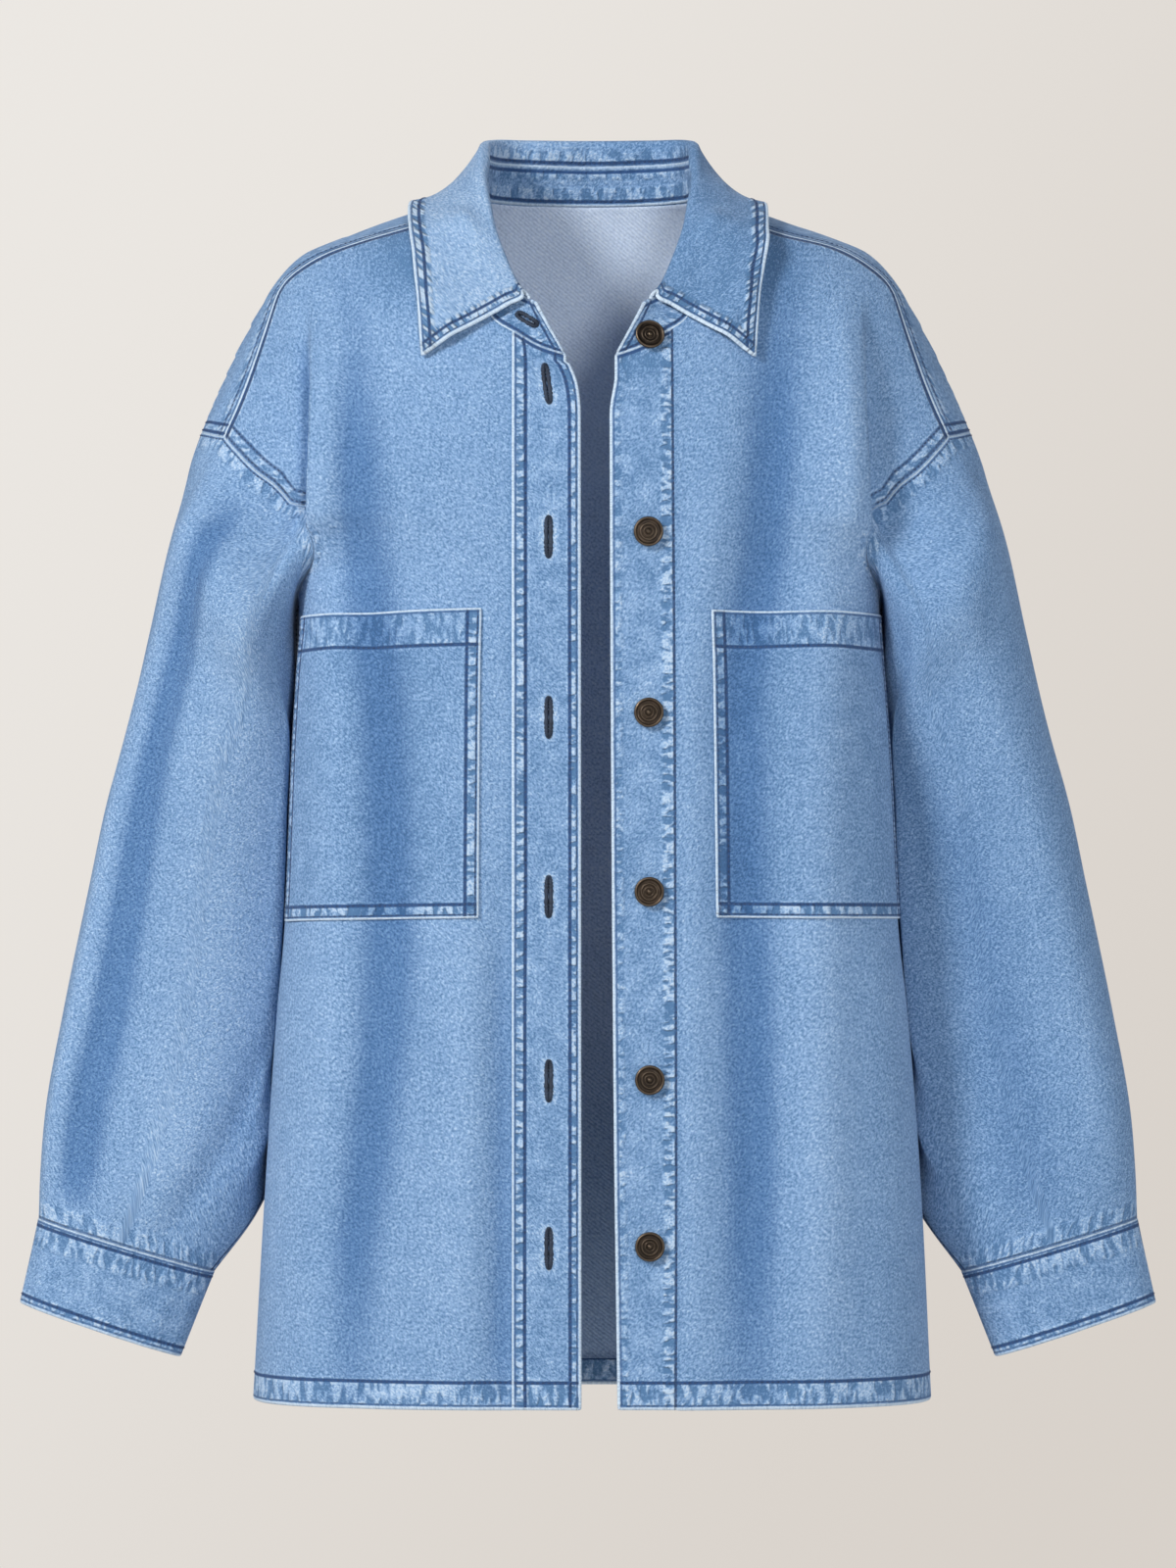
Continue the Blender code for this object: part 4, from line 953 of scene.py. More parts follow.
# rough lengths that the rows and columns are spread over
frontWide, frontArm, facingWide, backWide, backArm = 0.20, 0.34, 0.036, 0.22, 0.36
lowerLong = underarmHeight - hemHeight
lowerRows = hemHeight + lowerLong * spread(lowerLong, 0.0034, (0.0, turnUp), 0.0012)[:-1]
fanRows = spread(frontArm, 0.0034, (frontArm,), 0.0012)
panelParts = spread(frontWide, 0.0030, (0.0, frontWide), 0.0010)
proudScale = 0.005
centreless = 0.05      # added to the back's distances from its centre, which isn't an edge
edgesFront, edgesBack = {}, {}


# all but where the chest's fold covers the armhole's seam, in front under the arm
def uncovered(places):
    return ((places[..., 2] >= seamFold["top"]) | (places[..., 1] >= seamFold["behind"])
            | (places[..., 2] <= underarmHeight - seamFold["below"]))


def underFold(heights):
    return np.clip((seamFold["fadeFrom"] - heights) / seamFold["fade"], 0, 1)


# One side's panel; the places of its seams are kept for the pieces that join it
def panel(side, edgeX, parts, lower, fan, back=False):
    heights, turns, corner = fanNet(side, edgeX, parts, lower, fan, back)
    places, normals, rise = surface(side, heights, turns)
    strip = Strip(inset(places, len(lower) + 1), normals, rise / proudScale)
    strip.across = girth(heights, turns)
    strip.along = strip.grid[..., 2]
    if back:
        strip.across = (girth(heights, heights * 0 + math.pi) - strip.across) * side
        strip.left = strip.left + centreless
    (edgesBack if back else edgesFront)[side] = {
        "arm": places[len(lower):, -1], "armOut": normals[len(lower):, -1], "neck": places[corner:, 0],
        "levels": heights[:corner + 1, 0], "strip": strip,
    }
    return strip


def join(strips):
    points = np.concatenate([s.grid.reshape(-1, 3) for s in strips])
    normals = np.concatenate([s.normals.reshape(-1, 3) for s in strips])
    attributes = {key: np.concatenate([s.attributes()[key] for s in strips])
                  for key in ("cloth", "sides", "ends")}
    return points, normals, attributes


made = {}
seamRim = 0.35      # how round a rim is along a seam, beside 1 along a free edge
rims = {"low": np.s_[0], "high": np.s_[-1], "left": np.s_[:, 0]}


# A piece of cloth from strips, with its lines of stitches. Its rim is round along its free edges, and as
# flat as seam says elsewhere.
def sew(name, strips, cut, lines, thickness=doubled, quads=None, flip=False, inner=None, seam=1.0,
        free=(), keep=None):
    points, normals, attributes = join(strips)
    edgeRound = []
    for strip in strips:
        edgeRound.append(np.full(strip.grid.shape[:2], seam))
        for edge in free:
            edgeRound[-1][rims[edge]] = 1.0
    made[name] = shell(
        name, points, strips[0].quads(flip) if quads is None else quads, normals,
        thickness(points[:, 2]) if callable(thickness) else thickness, attributes,
        [denim(name, cut)] if inner is None else [denim(name, cut), inside], inner,
        np.concatenate([one.ravel() for one in edgeRound]))
    for strip in strips:
        for line in lines:
            stitchLine(name, strip.line(*line), keep, strip.closed and line[0] in ("low", "high"))


frontSide = {"white": 0.35, "rows": (0.0018, 0.0085), "ladder": (0.0020, 0.0085, 0.50), "line": 0.7}
hemEdge = {"white": 0.9, "rows": (0.0150,), "ladder": (0.0010, 0.0150, 0.62)}
# under is the painted shadow of the collar on the placket and facing tops
bandTop = {"white": 0.5, "rows": (0.0016,), "ladder": (0.0010, 0.0050, 0.5), "under": (0.004, 0.034, 0.45)}
# the fronts' upper edge: its rows by the edge draw the painted shadow under the back's overlapping edge, and
# under paints the collar's shadow
neckEdge = {"rows": (0.0005, 0.0012, 0.0019), "ladder": (0.0014, 0.0050, 0.25), "under": (0.030, 0.072, 0.95)}
cuts = {
    "front_right": {"seed": 1.0, "edges": {
        # soften here darkens the front beside the raised placket's edge: painted shadow
        "left": {"soften": (0.004, -0.45)}, "right": frontSide, "low": hemEdge, "high": neckEdge,
    }},
    "front_left": {"seed": 2.0, "tone": -0.03, "edges": {
        "left": {"soften": (0.004, -0.25)}, "right": frontSide, "low": hemEdge, "high": neckEdge,
    }},
    "facing_left": {"seed": 2.5, "tone": -0.07, "cloud": 1.6, "edges": {
        "left": {"white": 0.9, "ladder": (0.0010, 0.0050, 0.50)},
        "right": {"ladder": (0.0006, 0.0075, 0.80), "rows": (0.0004,), "line": 0.85},
        "low": hemEdge, "high": bandTop,
    }},
    "back": {"seed": 3.0, "edges": {
        "right": {"white": 0.5, "rows": (0.0018, 0.0075), "ladder": (0.0010, 0.0075, 0.45)},
        "low": hemEdge,
        "high": {"white": 1.0, "whiteWide": 0.0012, "rows": (0.0052,),
                 "ladder": (0.0016, 0.0085, 0.60), "line": 0.5},
    }},
}
for side, name in ((-1, "front_right"), (1, "front_left")):
    strip = panel(side, placketOuter + seamGap if side < 0 else placketInner, panelParts, lowerRows, fanRows)
    strip.hidden[len(lowerRows):] = underFold(strip.grid[len(lowerRows):, -1:, 2])
    sew(name, [strip], cuts[name], [("right", 0.0018), ("right", 0.0085), ("low", 0.0150), ("high", 0.0022)],
        thickAt, None, side < 0, hemInside, seamRim, ("low",), uncovered)
print("stage: fronts")

# the turned-in front edge on the left, up to where its panel meets the neckline
levels = edgesFront[1]["levels"]
rise = levels[-1] - underarmHeight
rows = [(z, max(0.0, (z - underarmHeight) / rise)) for z in levels]
facingParts = spread(facingWide, 0.0026, (0.0, facingWide), 0.0009)
heights, turns = edgeStrip(1, placketInner, rows, facingParts)
places, normals, lift = surface(1, heights, turns)
facing = Strip(places, normals, lift / proudScale)
facing.along = places[..., 2]
sew("facing_left", [facing], cuts["facing_left"], [("right", 0.0004), ("low", 0.0150)],
    seam=0.3, free=("left", "low"))
edgesFront[1]["neck"] = np.concatenate([places[-1, :-1], edgesFront[1]["neck"]])


# The buttonhole placket

buttonholes = {
    "heights": [-0.1137, -0.2047, -0.3115, -0.4176, -0.5266, -0.6258],
    "long": 0.0225, "wide": 0.0024, "fromCentre": 0.0250,
}
placketCut = {"seed": 4.0, "tone": -0.08, "cloud": 1.5, "edges": {
    "left": {"white": 0.95, "rows": (0.0055,), "ladder": (0.0010, 0.0055, 0.85)},
    "right": {"white": 0.95, "rows": (0.0072,), "ladder": (0.0010, 0.0072, 0.85)},
    "low": hemEdge, "high": bandTop,
}}
x0 = float(centreEdge(-1, pocketMiddle))
placketWide = placketOuter - x0
slitParts = [(buttonholes["fromCentre"] + s * buttonholes["wide"] / 2 - x0) / placketWide for s in (-1, 1)]
beyondSlit = placketWide * (1 - slitParts[1])
placketParts = np.concatenate([
    spread(placketWide * slitParts[0], 0.0018, (0.0,), 0.0007) * slitParts[0],
    slitParts[0] + (slitParts[1] - slitParts[0]) * np.array([0.5, 1.0]),
    (slitParts[1] + (1 - slitParts[1]) * spread(beyondSlit, 0.0018, (beyondSlit,), 0.0007))[1:],
])
placketTop = float(neckZ(neckPlace(placketOuter)))
marks = [hemHeight]
for centre in sorted(buttonholes["heights"]):
    marks += [centre - buttonholes["long"] / 2, centre + buttonholes["long"] / 2]
marks.append(placketTop)
levels = [(hemHeight, 0.0)]
spans = []
for a, b in zip(marks, marks[1:]):
    steps = spread(b - a, 0.0022, (0.0,) if a == hemHeight else (), 0.001)[1:]
    spans.append((len(levels) - 1, len(levels) - 1 + len(steps)))
    levels += [(a + (b - a) * t, t if b == placketTop else 0.0) for t in steps]
heights, turns = edgeStrip(-1, placketOuter, levels, placketParts)
places, normals, lift = surface(-1, heights, turns)
places = places + normals * placketRaise
placket = Strip(places, normals, lift / proudScale)
placket.along = places[..., 2]
quads = placket.quads(True).reshape(len(levels) - 1, len(placketParts) - 1, 4)
slitColumns = [int(np.argmin(np.abs(placketParts - p))) for p in slitParts]
keep = np.ones(quads.shape[:2], bool)
for a, b in spans[1::2]:
    keep[a:b, slitColumns[0]:slitColumns[1]] = False
middle = (slitColumns[0] + slitColumns[1]) // 2
holeRows = [int(np.argmin(np.abs(np.array(column(levels, 0)) - centre))) for centre in buttonholes["heights"]]
placketCut["holes"] = [
    (float(placket.across[row, middle]), float(placket.along[row, middle])) for row in holeRows]
sew("placket_right", [placket], placketCut, [("left", 0.0055), ("right", 0.0072), ("low", 0.0150)],
    quads=quads[keep])
placketNeck = places[-1, :-1] - placket.normals[-1, :-1] * placketRaise
edgesFront[-1]["neck"] = np.concatenate([placketNeck, edgesFront[-1]["neck"]])


# A ring of thread round a buttonhole: a tube along a loop, with a rib for each turn of thread
hole = {
    "steps": 120, "sides": 8, "thick": 0.00135, "turns": 30, "rib": 0.20, "sunk": 0.0002,
    "longer": 0.0006, "wider": 0.0004,      # than the slit
}


def boundHole(place, along, out, long, wide):
    rings = []
    across = np.cross(out, along)
    for i in range(hole["steps"]):
        a = 2 * math.pi * i / hole["steps"]
        u, v = math.cos(a), math.sin(a)
        x = math.copysign(abs(u) ** 0.55, u) * long / 2
        y = math.copysign(min(1.0, abs(v) ** 0.8), v) * wide / 2
        middle = place - out * hole["sunk"] + along * x + across * y
        leave = unit(along * u * 0.5 + across * v)
        ribs = 1 + hole["rib"] * math.cos(hole["turns"] * a)
        for k in range(hole["sides"]):
            b = 2 * math.pi * k / hole["sides"]
            rings.append(middle + (leave * math.cos(b) + out * math.sin(b)) * hole["thick"] * ribs)
    return rings


holes = []
for row in holeRows:
    up = unit(placket.grid[row + 1, middle] - placket.grid[row - 1, middle])
    holes.append((placket.grid[row, middle], up, placket.normals[row, middle],
                  buttonholes["long"] + hole["longer"], buttonholes["wide"] + hole["wider"]))


# Pockets

pocketSizes = {
    # heights of the lower and upper edges: at the centre front, and out at the side seam
    "rows": {-1: ((-0.4292, -0.4344), (-0.2470, -0.2531)), 1: ((-0.4292, -0.4318), (-0.2482, -0.2510))},
    "inner": {-1: 20.7, 1: 22.9}, "outer": {-1: 73.6, 1: 79.0},      # degrees round from the centre front
    "wide": 0.108, "tall": 0.18,
}
pocketSide = {"white": 0.95, "rows": (0.0075,), "ladder": (0.0010, 0.0075, 0.75)}
pocketCut = {"tone": -0.22, "cloud": 0.9, "edges": {
    "left": pocketSide, "right": pocketSide,
    "low": {"white": 0.95, "rows": (0.0075,), "ladder": (0.0010, 0.0075, 0.80)},
    "high": {"white": 0.95, "rows": (0.0210,), "ladder": (0.0010, 0.0205, 0.42)},
}}
pocketLines = [("left", 0.0075), ("right", 0.0075), ("low", 0.0075), ("high", 0.0210),
               ("low", 0.0014), ("left", 0.0014), ("right", 0.0014)]
for side, name in ((-1, "pocket_right"), (1, "pocket_left")):
    edgeX = placketOuter + seamGap if side < 0 else placketInner
    start = float(turnAt(edgeX, pocketMiddle))
    ends = [math.radians(pocketSizes[key][side]) for key in ("inner", "outer")]
    inner, outer = [(end - start) / (sideSeam - start) for end in ends]
    across = inner + (outer - inner) * spread(pocketSizes["wide"], 0.0022, (0.0, pocketSizes["wide"]), 0.0007)
    up = spread(pocketSizes["tall"], 0.0022, (0.0, pocketSizes["tall"]), 0.0007)
    (lowCentre, lowBeside), (highCentre, highBeside) = pocketSizes["rows"][side]
    heights, turns = [], []
    for t in up:
        centre = lowCentre + (highCentre - lowCentre) * t
        beside = lowBeside + (highBeside - lowBeside) * t
        first = float(turnAt(edgeX, centre))
        heights.append(centre + (beside - centre) * across)
        turns.append(first + (sideSeam - first) * across)
    places, normals, lift = surface(side, np.array(heights), np.array(turns))
    places = places + normals * (seamGap + cloth)
    pocket = Strip(places, normals, lift / proudScale)
    sew(name, [pocket], dict(pocketCut, seed=5.0 + side), pocketLines, cloth, None, side < 0, 1)
print("stage: plackets and pockets")


# The back

backParts = spread(backWide, 0.0042, (backWide,), 0.0012)
backRows = hemHeight + lowerLong * spread(lowerLong, 0.0046, (0.0, turnUp), 0.0014)[:-1]
backFan = spread(backArm, 0.0044, (backArm,), 0.0014)
halves = [panel(side, 0.0, backParts, backRows, backFan, True) for side in (-1, 1)]
size, columns = halves[0].left.size, halves[0].left.shape[1]
quads = np.concatenate([halves[0].quads(), halves[1].quads(True) + size])
renamed = np.arange(2 * size)
shared = np.arange(len(edgesBack[1]["levels"])) * columns
renamed[size + shared] = shared      # the halves meet along the centre
sew("back", halves, cuts["back"], [("right", 0.0018), ("right", 0.0075), ("low", 0.0150), ("high", 0.0052)],
    thickAt, renamed[quads], False, hemInside, seamRim, ("low",))
print("stage: back")


# Sleeves and cuffs

sleeveSizes = {
    "rings": [
        # outerX, outerZ, innerX, innerZ, y, halfDepth
        (0.2495, -0.1870, 0.1750, -0.2810, 0.0100, 0.0780),
        (0.2673, -0.2595, 0.1640, -0.3350, 0.0150, 0.0730),
        (0.2819, -0.3210, 0.1580, -0.3820, 0.0170, 0.0680),
        (0.2937, -0.3630, 0.1560, -0.4150, 0.0180, 0.0640),
        (0.3037, -0.4100, 0.1570, -0.4520, 0.0180, 0.0590),
        (0.3202, -0.4900, 0.1630, -0.5230, 0.0160, 0.0510),
        (0.3301, -0.5450, 0.1780, -0.5720, 0.0130, 0.0440),
        (0.3335, -0.5850, 0.2030, -0.6120, 0.0100, 0.0350),
        (0.3345, -0.6140, 0.2280, -0.6460, 0.0080, 0.0260),
    ],
    # how far the inner edge lies behind the outer one at each ring, and how square the ring is
    "tucks": (0.009, 0.024, 0.034, 0.036, 0.036, 0.032, 0.022, 0.008, 0.000),
    "square": (2.6, 3.0, 3.4, 3.4, 3.4, 3.0, 2.6, 2.2, 2.0),
    # how it leaves the armhole: how firmly at its top and under the arm, and how far out there
    "capFirm": 0.020, "underFirm": 0.004, "underOut": 0.005, "gap": 0.0005,
    "clear": 0.0020, "leftShift": -0.0035, "long": 0.52,
    # half width, how far the fold stands out, then the part of the sleeve's length and the degrees
    # round there (0 at the outer edge, 90 at the front, 180 at the inner edge)
    "folds": {
        -1: [
            (0.017, -0.0060, [(0.03, 44), (0.20, 46), (0.35, 50), (0.50, 53),
                              (0.68, 54), (0.86, 51), (0.98, 50)]),
            (0.018, 0.0045, [(0.03, 84), (0.20, 86), (0.35, 88), (0.50, 90),
                             (0.68, 92), (0.86, 93), (0.97, 93)]),
            (0.012, 0.0022, [(0.05, 14), (0.30, 20), (0.60, 26), (0.97, 26)]),
            (0.008, -0.0020, [(0.62, 118), (0.80, 112), (1.00, 110)]),
        ],
        1: [
            (0.016, -0.0020, [(0.05, 118), (0.30, 108), (0.50, 90), (0.75, 84), (1.00, 88)]),
            (0.018, 0.0020, [(0.05, 74), (0.30, 64), (0.60, 50), (0.95, 46)]),
        ],
    },
    "foldEnds": 0.12, "seamEnds": 0.05, "proud": 0.004,
}
cuffSizes = {"end": (0.3454, -0.6640, 0.2481, -0.6967, 0.0080, 0.0225), "long": 0.050}


# One ring of a sleeve, as a rounded oblong at angles from its outer edge
def sleeveRing(ring, angles, side, tuck=0.0, square=2.0):
    outerX, outerZ, innerX, innerZ, y, depth = ring
    centre = np.array([(outerX + innerX) / 2, y, (outerZ + innerZ) / 2])
    half = np.array([(outerX - innerX) / 2, 0, (outerZ - innerZ) / 2])
    across, along = np.cos(angles), np.sin(angles)
    flat = min(2.5, square)
    power = 2 / (flat + (square - flat) * np.clip(-across * 3, 0, 1))      # squarer on its inner side
    across = np.sign(across) * np.abs(across) ** power
    along = np.sign(along) * np.abs(along) ** power
    places = centre + across[:, None] * half - along[:, None] * np.array([0, depth, 0])
    places[:, 1] += tuck * (1 - across) / 2
    return places * np.array([side, 1, 1])


# How far places lie outside the body's form, and the way out of it
def reachOver(places):
    def size(p):
        power = exponentAt(p[..., 2])
        wide = wideAt(p[..., 2])
        depth = np.where(p[..., 1] < wide, wide - frontAt(p[..., 2]), backAt(p[..., 2]) - wide)
        across = np.abs(p[..., 0]) / reachAt(p[..., 2])
        along = np.abs(p[..., 1] - wide) / depth
        return (across ** power + along ** power) ** (1 / power)
    step = 1e-4
    slope = np.stack([(size(places + d) - size(places - d)) / (2 * step) for d in np.eye(3) * step], axis=-1)
    steep = np.linalg.norm(slope, axis=-1)
    return (size(places) - 1) / steep, slope / steep[..., None]


# Places moved out until they are at least so far outside the body
def keepOver(side, places, least):
    stretch = 1 + leanAt(places[..., 2]) if side > 0 else np.ones(places.shape[:-1])
    places = places.copy()
    places[..., 0] /= stretch
    for _ in range(3):
        reach, out = reachOver(np.abs(places) * [1, 0, 0] + places * [0, 1, 1])
        out[..., 0] *= np.sign(places[..., 0])
        places = places + out * np.maximum(least - reach, 0)[..., None]
    places[..., 0] *= stretch
    return places


# A smooth surface through rings of points, at parts of its length
def loft(rings, parts):
    rings = np.array(rings)
    gaps = np.linalg.norm(np.diff(rings, axis=0), axis=-1).mean(axis=1)
    knots = np.concatenate([[0], np.cumsum(gaps)])
    knots = knots / knots[-1]
    slope = np.gradient(rings, knots, axis=0)
    places = []
    for t in parts:
        i = min(int(np.searchsorted(knots, t, side="right")) - 1, len(knots) - 2)
        wide = knots[i + 1] - knots[i]
        u = (t - knots[i]) / wide
        a = rings[i] * (1 + 2 * u) * (1 - u) ** 2 + rings[i + 1] * u * u * (3 - 2 * u)
        places.append(a + wide * (slope[i] * u * (1 - u) ** 2 - slope[i + 1] * u * u * (1 - u)))
    return np.array(places)


sleeveCut = {"edges": {
    "left": {"white": 0.6, "rows": (0.0016, 0.0070), "ladder": (0.0010, 0.0070, 0.5)},
    "right": {"white": 0.6},
    "low": {"white": 0.9, "ladder": (0.0010, 0.0085, 0.55), "soften": (0.012, 0.10)},
    "high": {"white": 0.35, "rows": (0.0008,), "ladder": (0.0010, 0.0110, 0.50), "line": 0.6},
}}
cuffCut = {"tone": -0.05, "cloud": 1.5, "edges": {
    "low": {"white": 0.95, "rows": (0.0034,), "ladder": (0.0012, 0.0150, 0.55)},
    "high": {"white": 0.7, "rows": (0.0046,), "ladder": (0.0010, 0.0060, 0.55)},
}}


for side, end in ((-1, "right"), (1, "left")):
    count = 74
    front, rear = edgesFront[side], edgesBack[side]
    steps = np.linspace(0, 1, count + 1)
    loop, loopOut = [np.concatenate([
        readOff(steps, np.linspace(0, 1, len(front[key])), front[key]),
        readOff(steps, np.linspace(0, 1, len(rear[key])), rear[key])[-2:0:-1]]) for key in ("arm", "armOut")]
    loopOut = unit(loopOut)
    shift = np.array([sleeveSizes["leftShift"] if side > 0 else 0, 0, 0])
    onward = unit(np.roll(loop, -1, axis=0) - np.roll(loop, 1, axis=0))
    away = unit(np.cross(onward, loopOut)) * side
    for _ in range(30):
        away = unit(away + np.roll(away, 1, axis=0) + np.roll(away, -1, axis=0))
    top = loop[np.argmax(np.abs(loop[:, 0]))]
    under = loop[0]
    middle = (top + under) / 2
    tall = np.linalg.norm(top - under) / 2
    deep = (loop[:, 1].max() - loop[:, 1].min()) / 2
    angles = np.unwrap(np.arctan2((middle[1] - loop[:, 1]) / deep,
                                  (loop - middle) @ unit(top - under) / tall))
    even = angles[0] + np.linspace(0, -2 * math.pi, len(loop), endpoint=False)
    share = (0.5 + 0.5 * np.cos(angles))[:, None]
    rings = []
    for i, ring in enumerate(sleeveSizes["rings"]):
        turned = angles + (even - angles) * min(1, (i + 1) / 3)
        places = sleeveRing(ring, turned, side, sleeveSizes["tucks"][i], sleeveSizes["square"][i]) + shift
        low = places[:, 2] < underarmHeight - 0.008
        places[low] = keepOver(side, places[low], sleeveSizes["clear"])
        rings.append(places)
    handle = loop + away * (sleeveSizes["capFirm"] * share + sleeveSizes["underFirm"] * (1 - share))
    handle = handle + loopOut * sleeveSizes["underOut"] * np.clip(1 - 2 * share, 0, 1)
    between = [loop * (1 - t) ** 2 + 2 * handle * t * (1 - t) + rings[0] * t * t for t in (0.33, 0.67)]
    leave = between[0] - loop
    leave = unit(leave - onward * np.sum(leave * onward, axis=1, keepdims=True))
    backward = np.minimum(0, np.sum(leave * away, axis=1, keepdims=True))
    clear = unit(leave - away * backward + loopOut * 0.1)
    rings[:0] = [loop + clear * sleeveSizes["gap"]] + between
    parts = spread(sleeveSizes["long"], 0.0036, (0.0, sleeveSizes["long"]), 0.0011)
    grid = loft(rings, parts)
    normals = gridNormals(grid, True)
    normals, flip = turnedOut(normals, against(normals, grid - grid.mean(axis=1, keepdims=True)))
    normals[0] = unit(np.cross(leave, onward) * side)
    normals[-1] = unit(grid[-1] - grid[-1].mean(axis=0))
    bare = Strip(grid, normals, None, True)
    rise = np.zeros(grid.shape[:2])
    around = bare.left[:, -1:] + bare.right[:, -1:]
    for width, height, path in sleeveSizes["folds"][side]:
        knots = column(path, 0)
        line = easeRows(path)(parts)[:, None]
        window = 1
        for along, start, fade, part in (
                (parts, knots[0], "foldEnds", 0.3), (-parts, -knots[-1], "foldEnds", 0.3),
                (-parts, -1, "seamEnds", 0), (parts, 0, "seamEnds", 0)):
            window = window * np.clip((along - start) / sleeveSizes[fade] + part, 0, 1)
        gap = (np.degrees(even)[None, :] - line + 180) % 360 - 180
        rise += height * window[:, None] * np.exp(-((gap / 360 * around) / width) ** 2)
    grid = grid + normals * rise[..., None]
    sleeve = Strip(grid, gridNormals(grid, True) * (-1 if flip else 1),
                   rise / sleeveSizes["proud"], True, True)
    sleeve.normals[0] = normals[0]
    sleeve.normals[-1] = normals[-1]
    frontLow = underFold(grid[0, :, 2]) * (grid[0, :, 1] < seamFold["behind"])
    sleeve.hidden = frontLow[None, :] * np.clip(1 - sleeve.low / 0.02, 0, 1)
    name = f"sleeve_{end}"
    stitchLine(name, sleeve.line("low", 0.0016), uncovered, True)
    # the sleeve on the key light's side made paler and the other darker: painted light
    sew(name, [sleeve], dict(sleeveCut, seed=6.0 + side, tone=-0.06 - 0.10 * side), [("left", 0.0070)],
        cloth, None, flip, 1, seamRim)

    start, stop = np.array(sleeveSizes["rings"][-1]), np.array(cuffSizes["end"])
    downward = (stop - start) * seamGap / cuffSizes["long"]
    rows = spread(cuffSizes["long"], 0.0020, (0.0, cuffSizes["long"]), 0.0007)
    fineEven = even[0] + np.linspace(0, -2 * math.pi, 180, endpoint=False)
    rings = [start + downward * (1 - t) + (stop - start) * t for t in rows]
    grid = np.array([sleeveRing(ring, fineEven, side) + shift for ring in rings])
    normals = unit(grid - grid.mean(axis=1, keepdims=True))
    ripple = (0.00035 * np.sin(fineEven * 31 + 2 * np.sin(fineEven * 5))[None, :]
              * np.exp(-rows[:, None] / 0.2))
    ripple = ripple + 0.0005 * np.sin(fineEven * 9 + 1.5 * np.sin(3 * fineEven))[None, :] * rows[:, None]
    grid = grid + normals * ripple[..., None]
    cuff = Strip(grid, normals, None, True, True)
    sew(f"cuff_{end}", [cuff], dict(cuffCut, seed=8.0 + side), [("low", 0.0034), ("high", 0.0046)],
        flip=against(gridNormals(grid, True), normals), seam=0.4, free=("high",))
print("stage: sleeves")


# Collar

# places along both are parts of the neckline's half, from the centre back
standSizes = {
    "top": [
        # place along, x, y, z
        (0.000, 0.0000, 0.0535, 0.0255), (0.170, 0.0435, 0.0460, 0.0262), (0.250, 0.0585, 0.0340, 0.0265),
        (0.344, 0.0645, 0.0130, 0.0262), (0.494, 0.0665, -0.0170, 0.0120), (0.648, 0.0620, -0.0460, -0.0185),
        (0.824, 0.0476, -0.0665, -0.0550), (1.000, 0.0335, -0.0790, -0.0655),
    ],
    "gap": 0.0007, "slit": (0.885, 0.955),
    "button": 0.925, "buttonHeight": 0.12, "buttonLift": 0.0009,
}
leafSizes = {
    "rise": [
        # place along, how far the fold stands above the stand
        (0.000, 0.0160), (0.250, 0.0145), (0.344, 0.0120), (0.494, 0.0080), (0.700, 0.0066), (1.000, 0.0060),
    ],
    "edge": [
        # where the leaf's edge lies on the body: degrees round from the centre front, height
        (180, -0.0200), (160, -0.0210), (146, -0.0180), (126, -0.0090), (105, -0.0038), (90, -0.0035),
        (70, -0.0068), (56, -0.0125), (45.3, -0.0200), (36.4, -0.0330), (32.2, -0.0528), (29.2, -0.0760),
        (27.2, -0.0966),
    ],
    "end": 0.955, "long": 0.46, "gap": 0.0009, "lift": 0.0034, "roll": 0.0036,
    "clear": 0.0006, "settles": 6,
}
topLine = [easeRows(standSizes["top"], i) for i in (1, 2, 3)]


# Places along the neckline's half from the centre back, some of them moved to the wanted values
def stations(side, count, wanted):
    places = np.concatenate([edgesBack[side]["neck"], edgesFront[side]["neck"][-2::-1]])
    run = runAlong(places)
    at = np.linspace(0, 1, count + 1)
    for value in wanted:
        at[int(np.argmin(np.abs(at - value)))] = value
    return at, readOff(at, run / run[-1], places)


def standGrid(count, partsUp):
    chain = []
    for side in (-1, 1):
        at, bottom = stations(side, count, (leafSizes["end"],) + standSizes["slit"])
        top = lean(side, np.stack([line(at) for line in topLine], axis=-1) * np.array([side, 1, 1]))
        rise = unit(top - bottom)
        low = bottom + rise * standSizes["gap"]
        chain.append((at, np.stack([low + (top - low) * part for part in partsUp], axis=1)))
    (rightAt, right), (leftAt, left) = chain
    return np.concatenate([right[::-1], left[1:]]), np.concatenate([-rightAt[::-1], leftAt[1:]])


standUp = np.concatenate([
    np.linspace(0, 0.44, 8), np.linspace(0.44, 0.56, 3)[1:], np.linspace(0.56, 1, 8)[1:]])
grid, standAt = standGrid(100, standUp)
grid = grid.transpose(1, 0, 2)
normals = gridNormals(grid)
normals, standFlip = turnedOut(normals, normals[0, 0, 1] > 0)
stand = Strip(grid, normals, None, False, True)
quads = stand.quads(standFlip).reshape(grid.shape[0] - 1, grid.shape[1] - 1, 4)
keep = np.ones(quads.shape[:2], bool)
inSlit = (standAt[:-1] >= -standSizes["slit"][1] - 1e-6) & (standAt[1:] <= -standSizes["slit"][0] + 1e-6)
slitRow = len(standUp) // 2
keep[slitRow - 1:slitRow + 1] &= ~inSlit[None, :]
standEnd = {"white": 0.9, "rows": (0.0050,), "ladder": (0.0010, 0.0050, 0.5)}
standCut = {"seed": 9.0, "tone": -0.08, "cloud": 1.6, "edges": {
    "left": standEnd, "right": standEnd,
    "low": {"white": 0.9, "rows": (0.0022,), "ladder": (0.0012, 0.0100, 0.55)},
    "high": {"white": 0.3, "rows": (0.0022,), "ladder": (0.0010, 0.0060, 0.5)},
}}
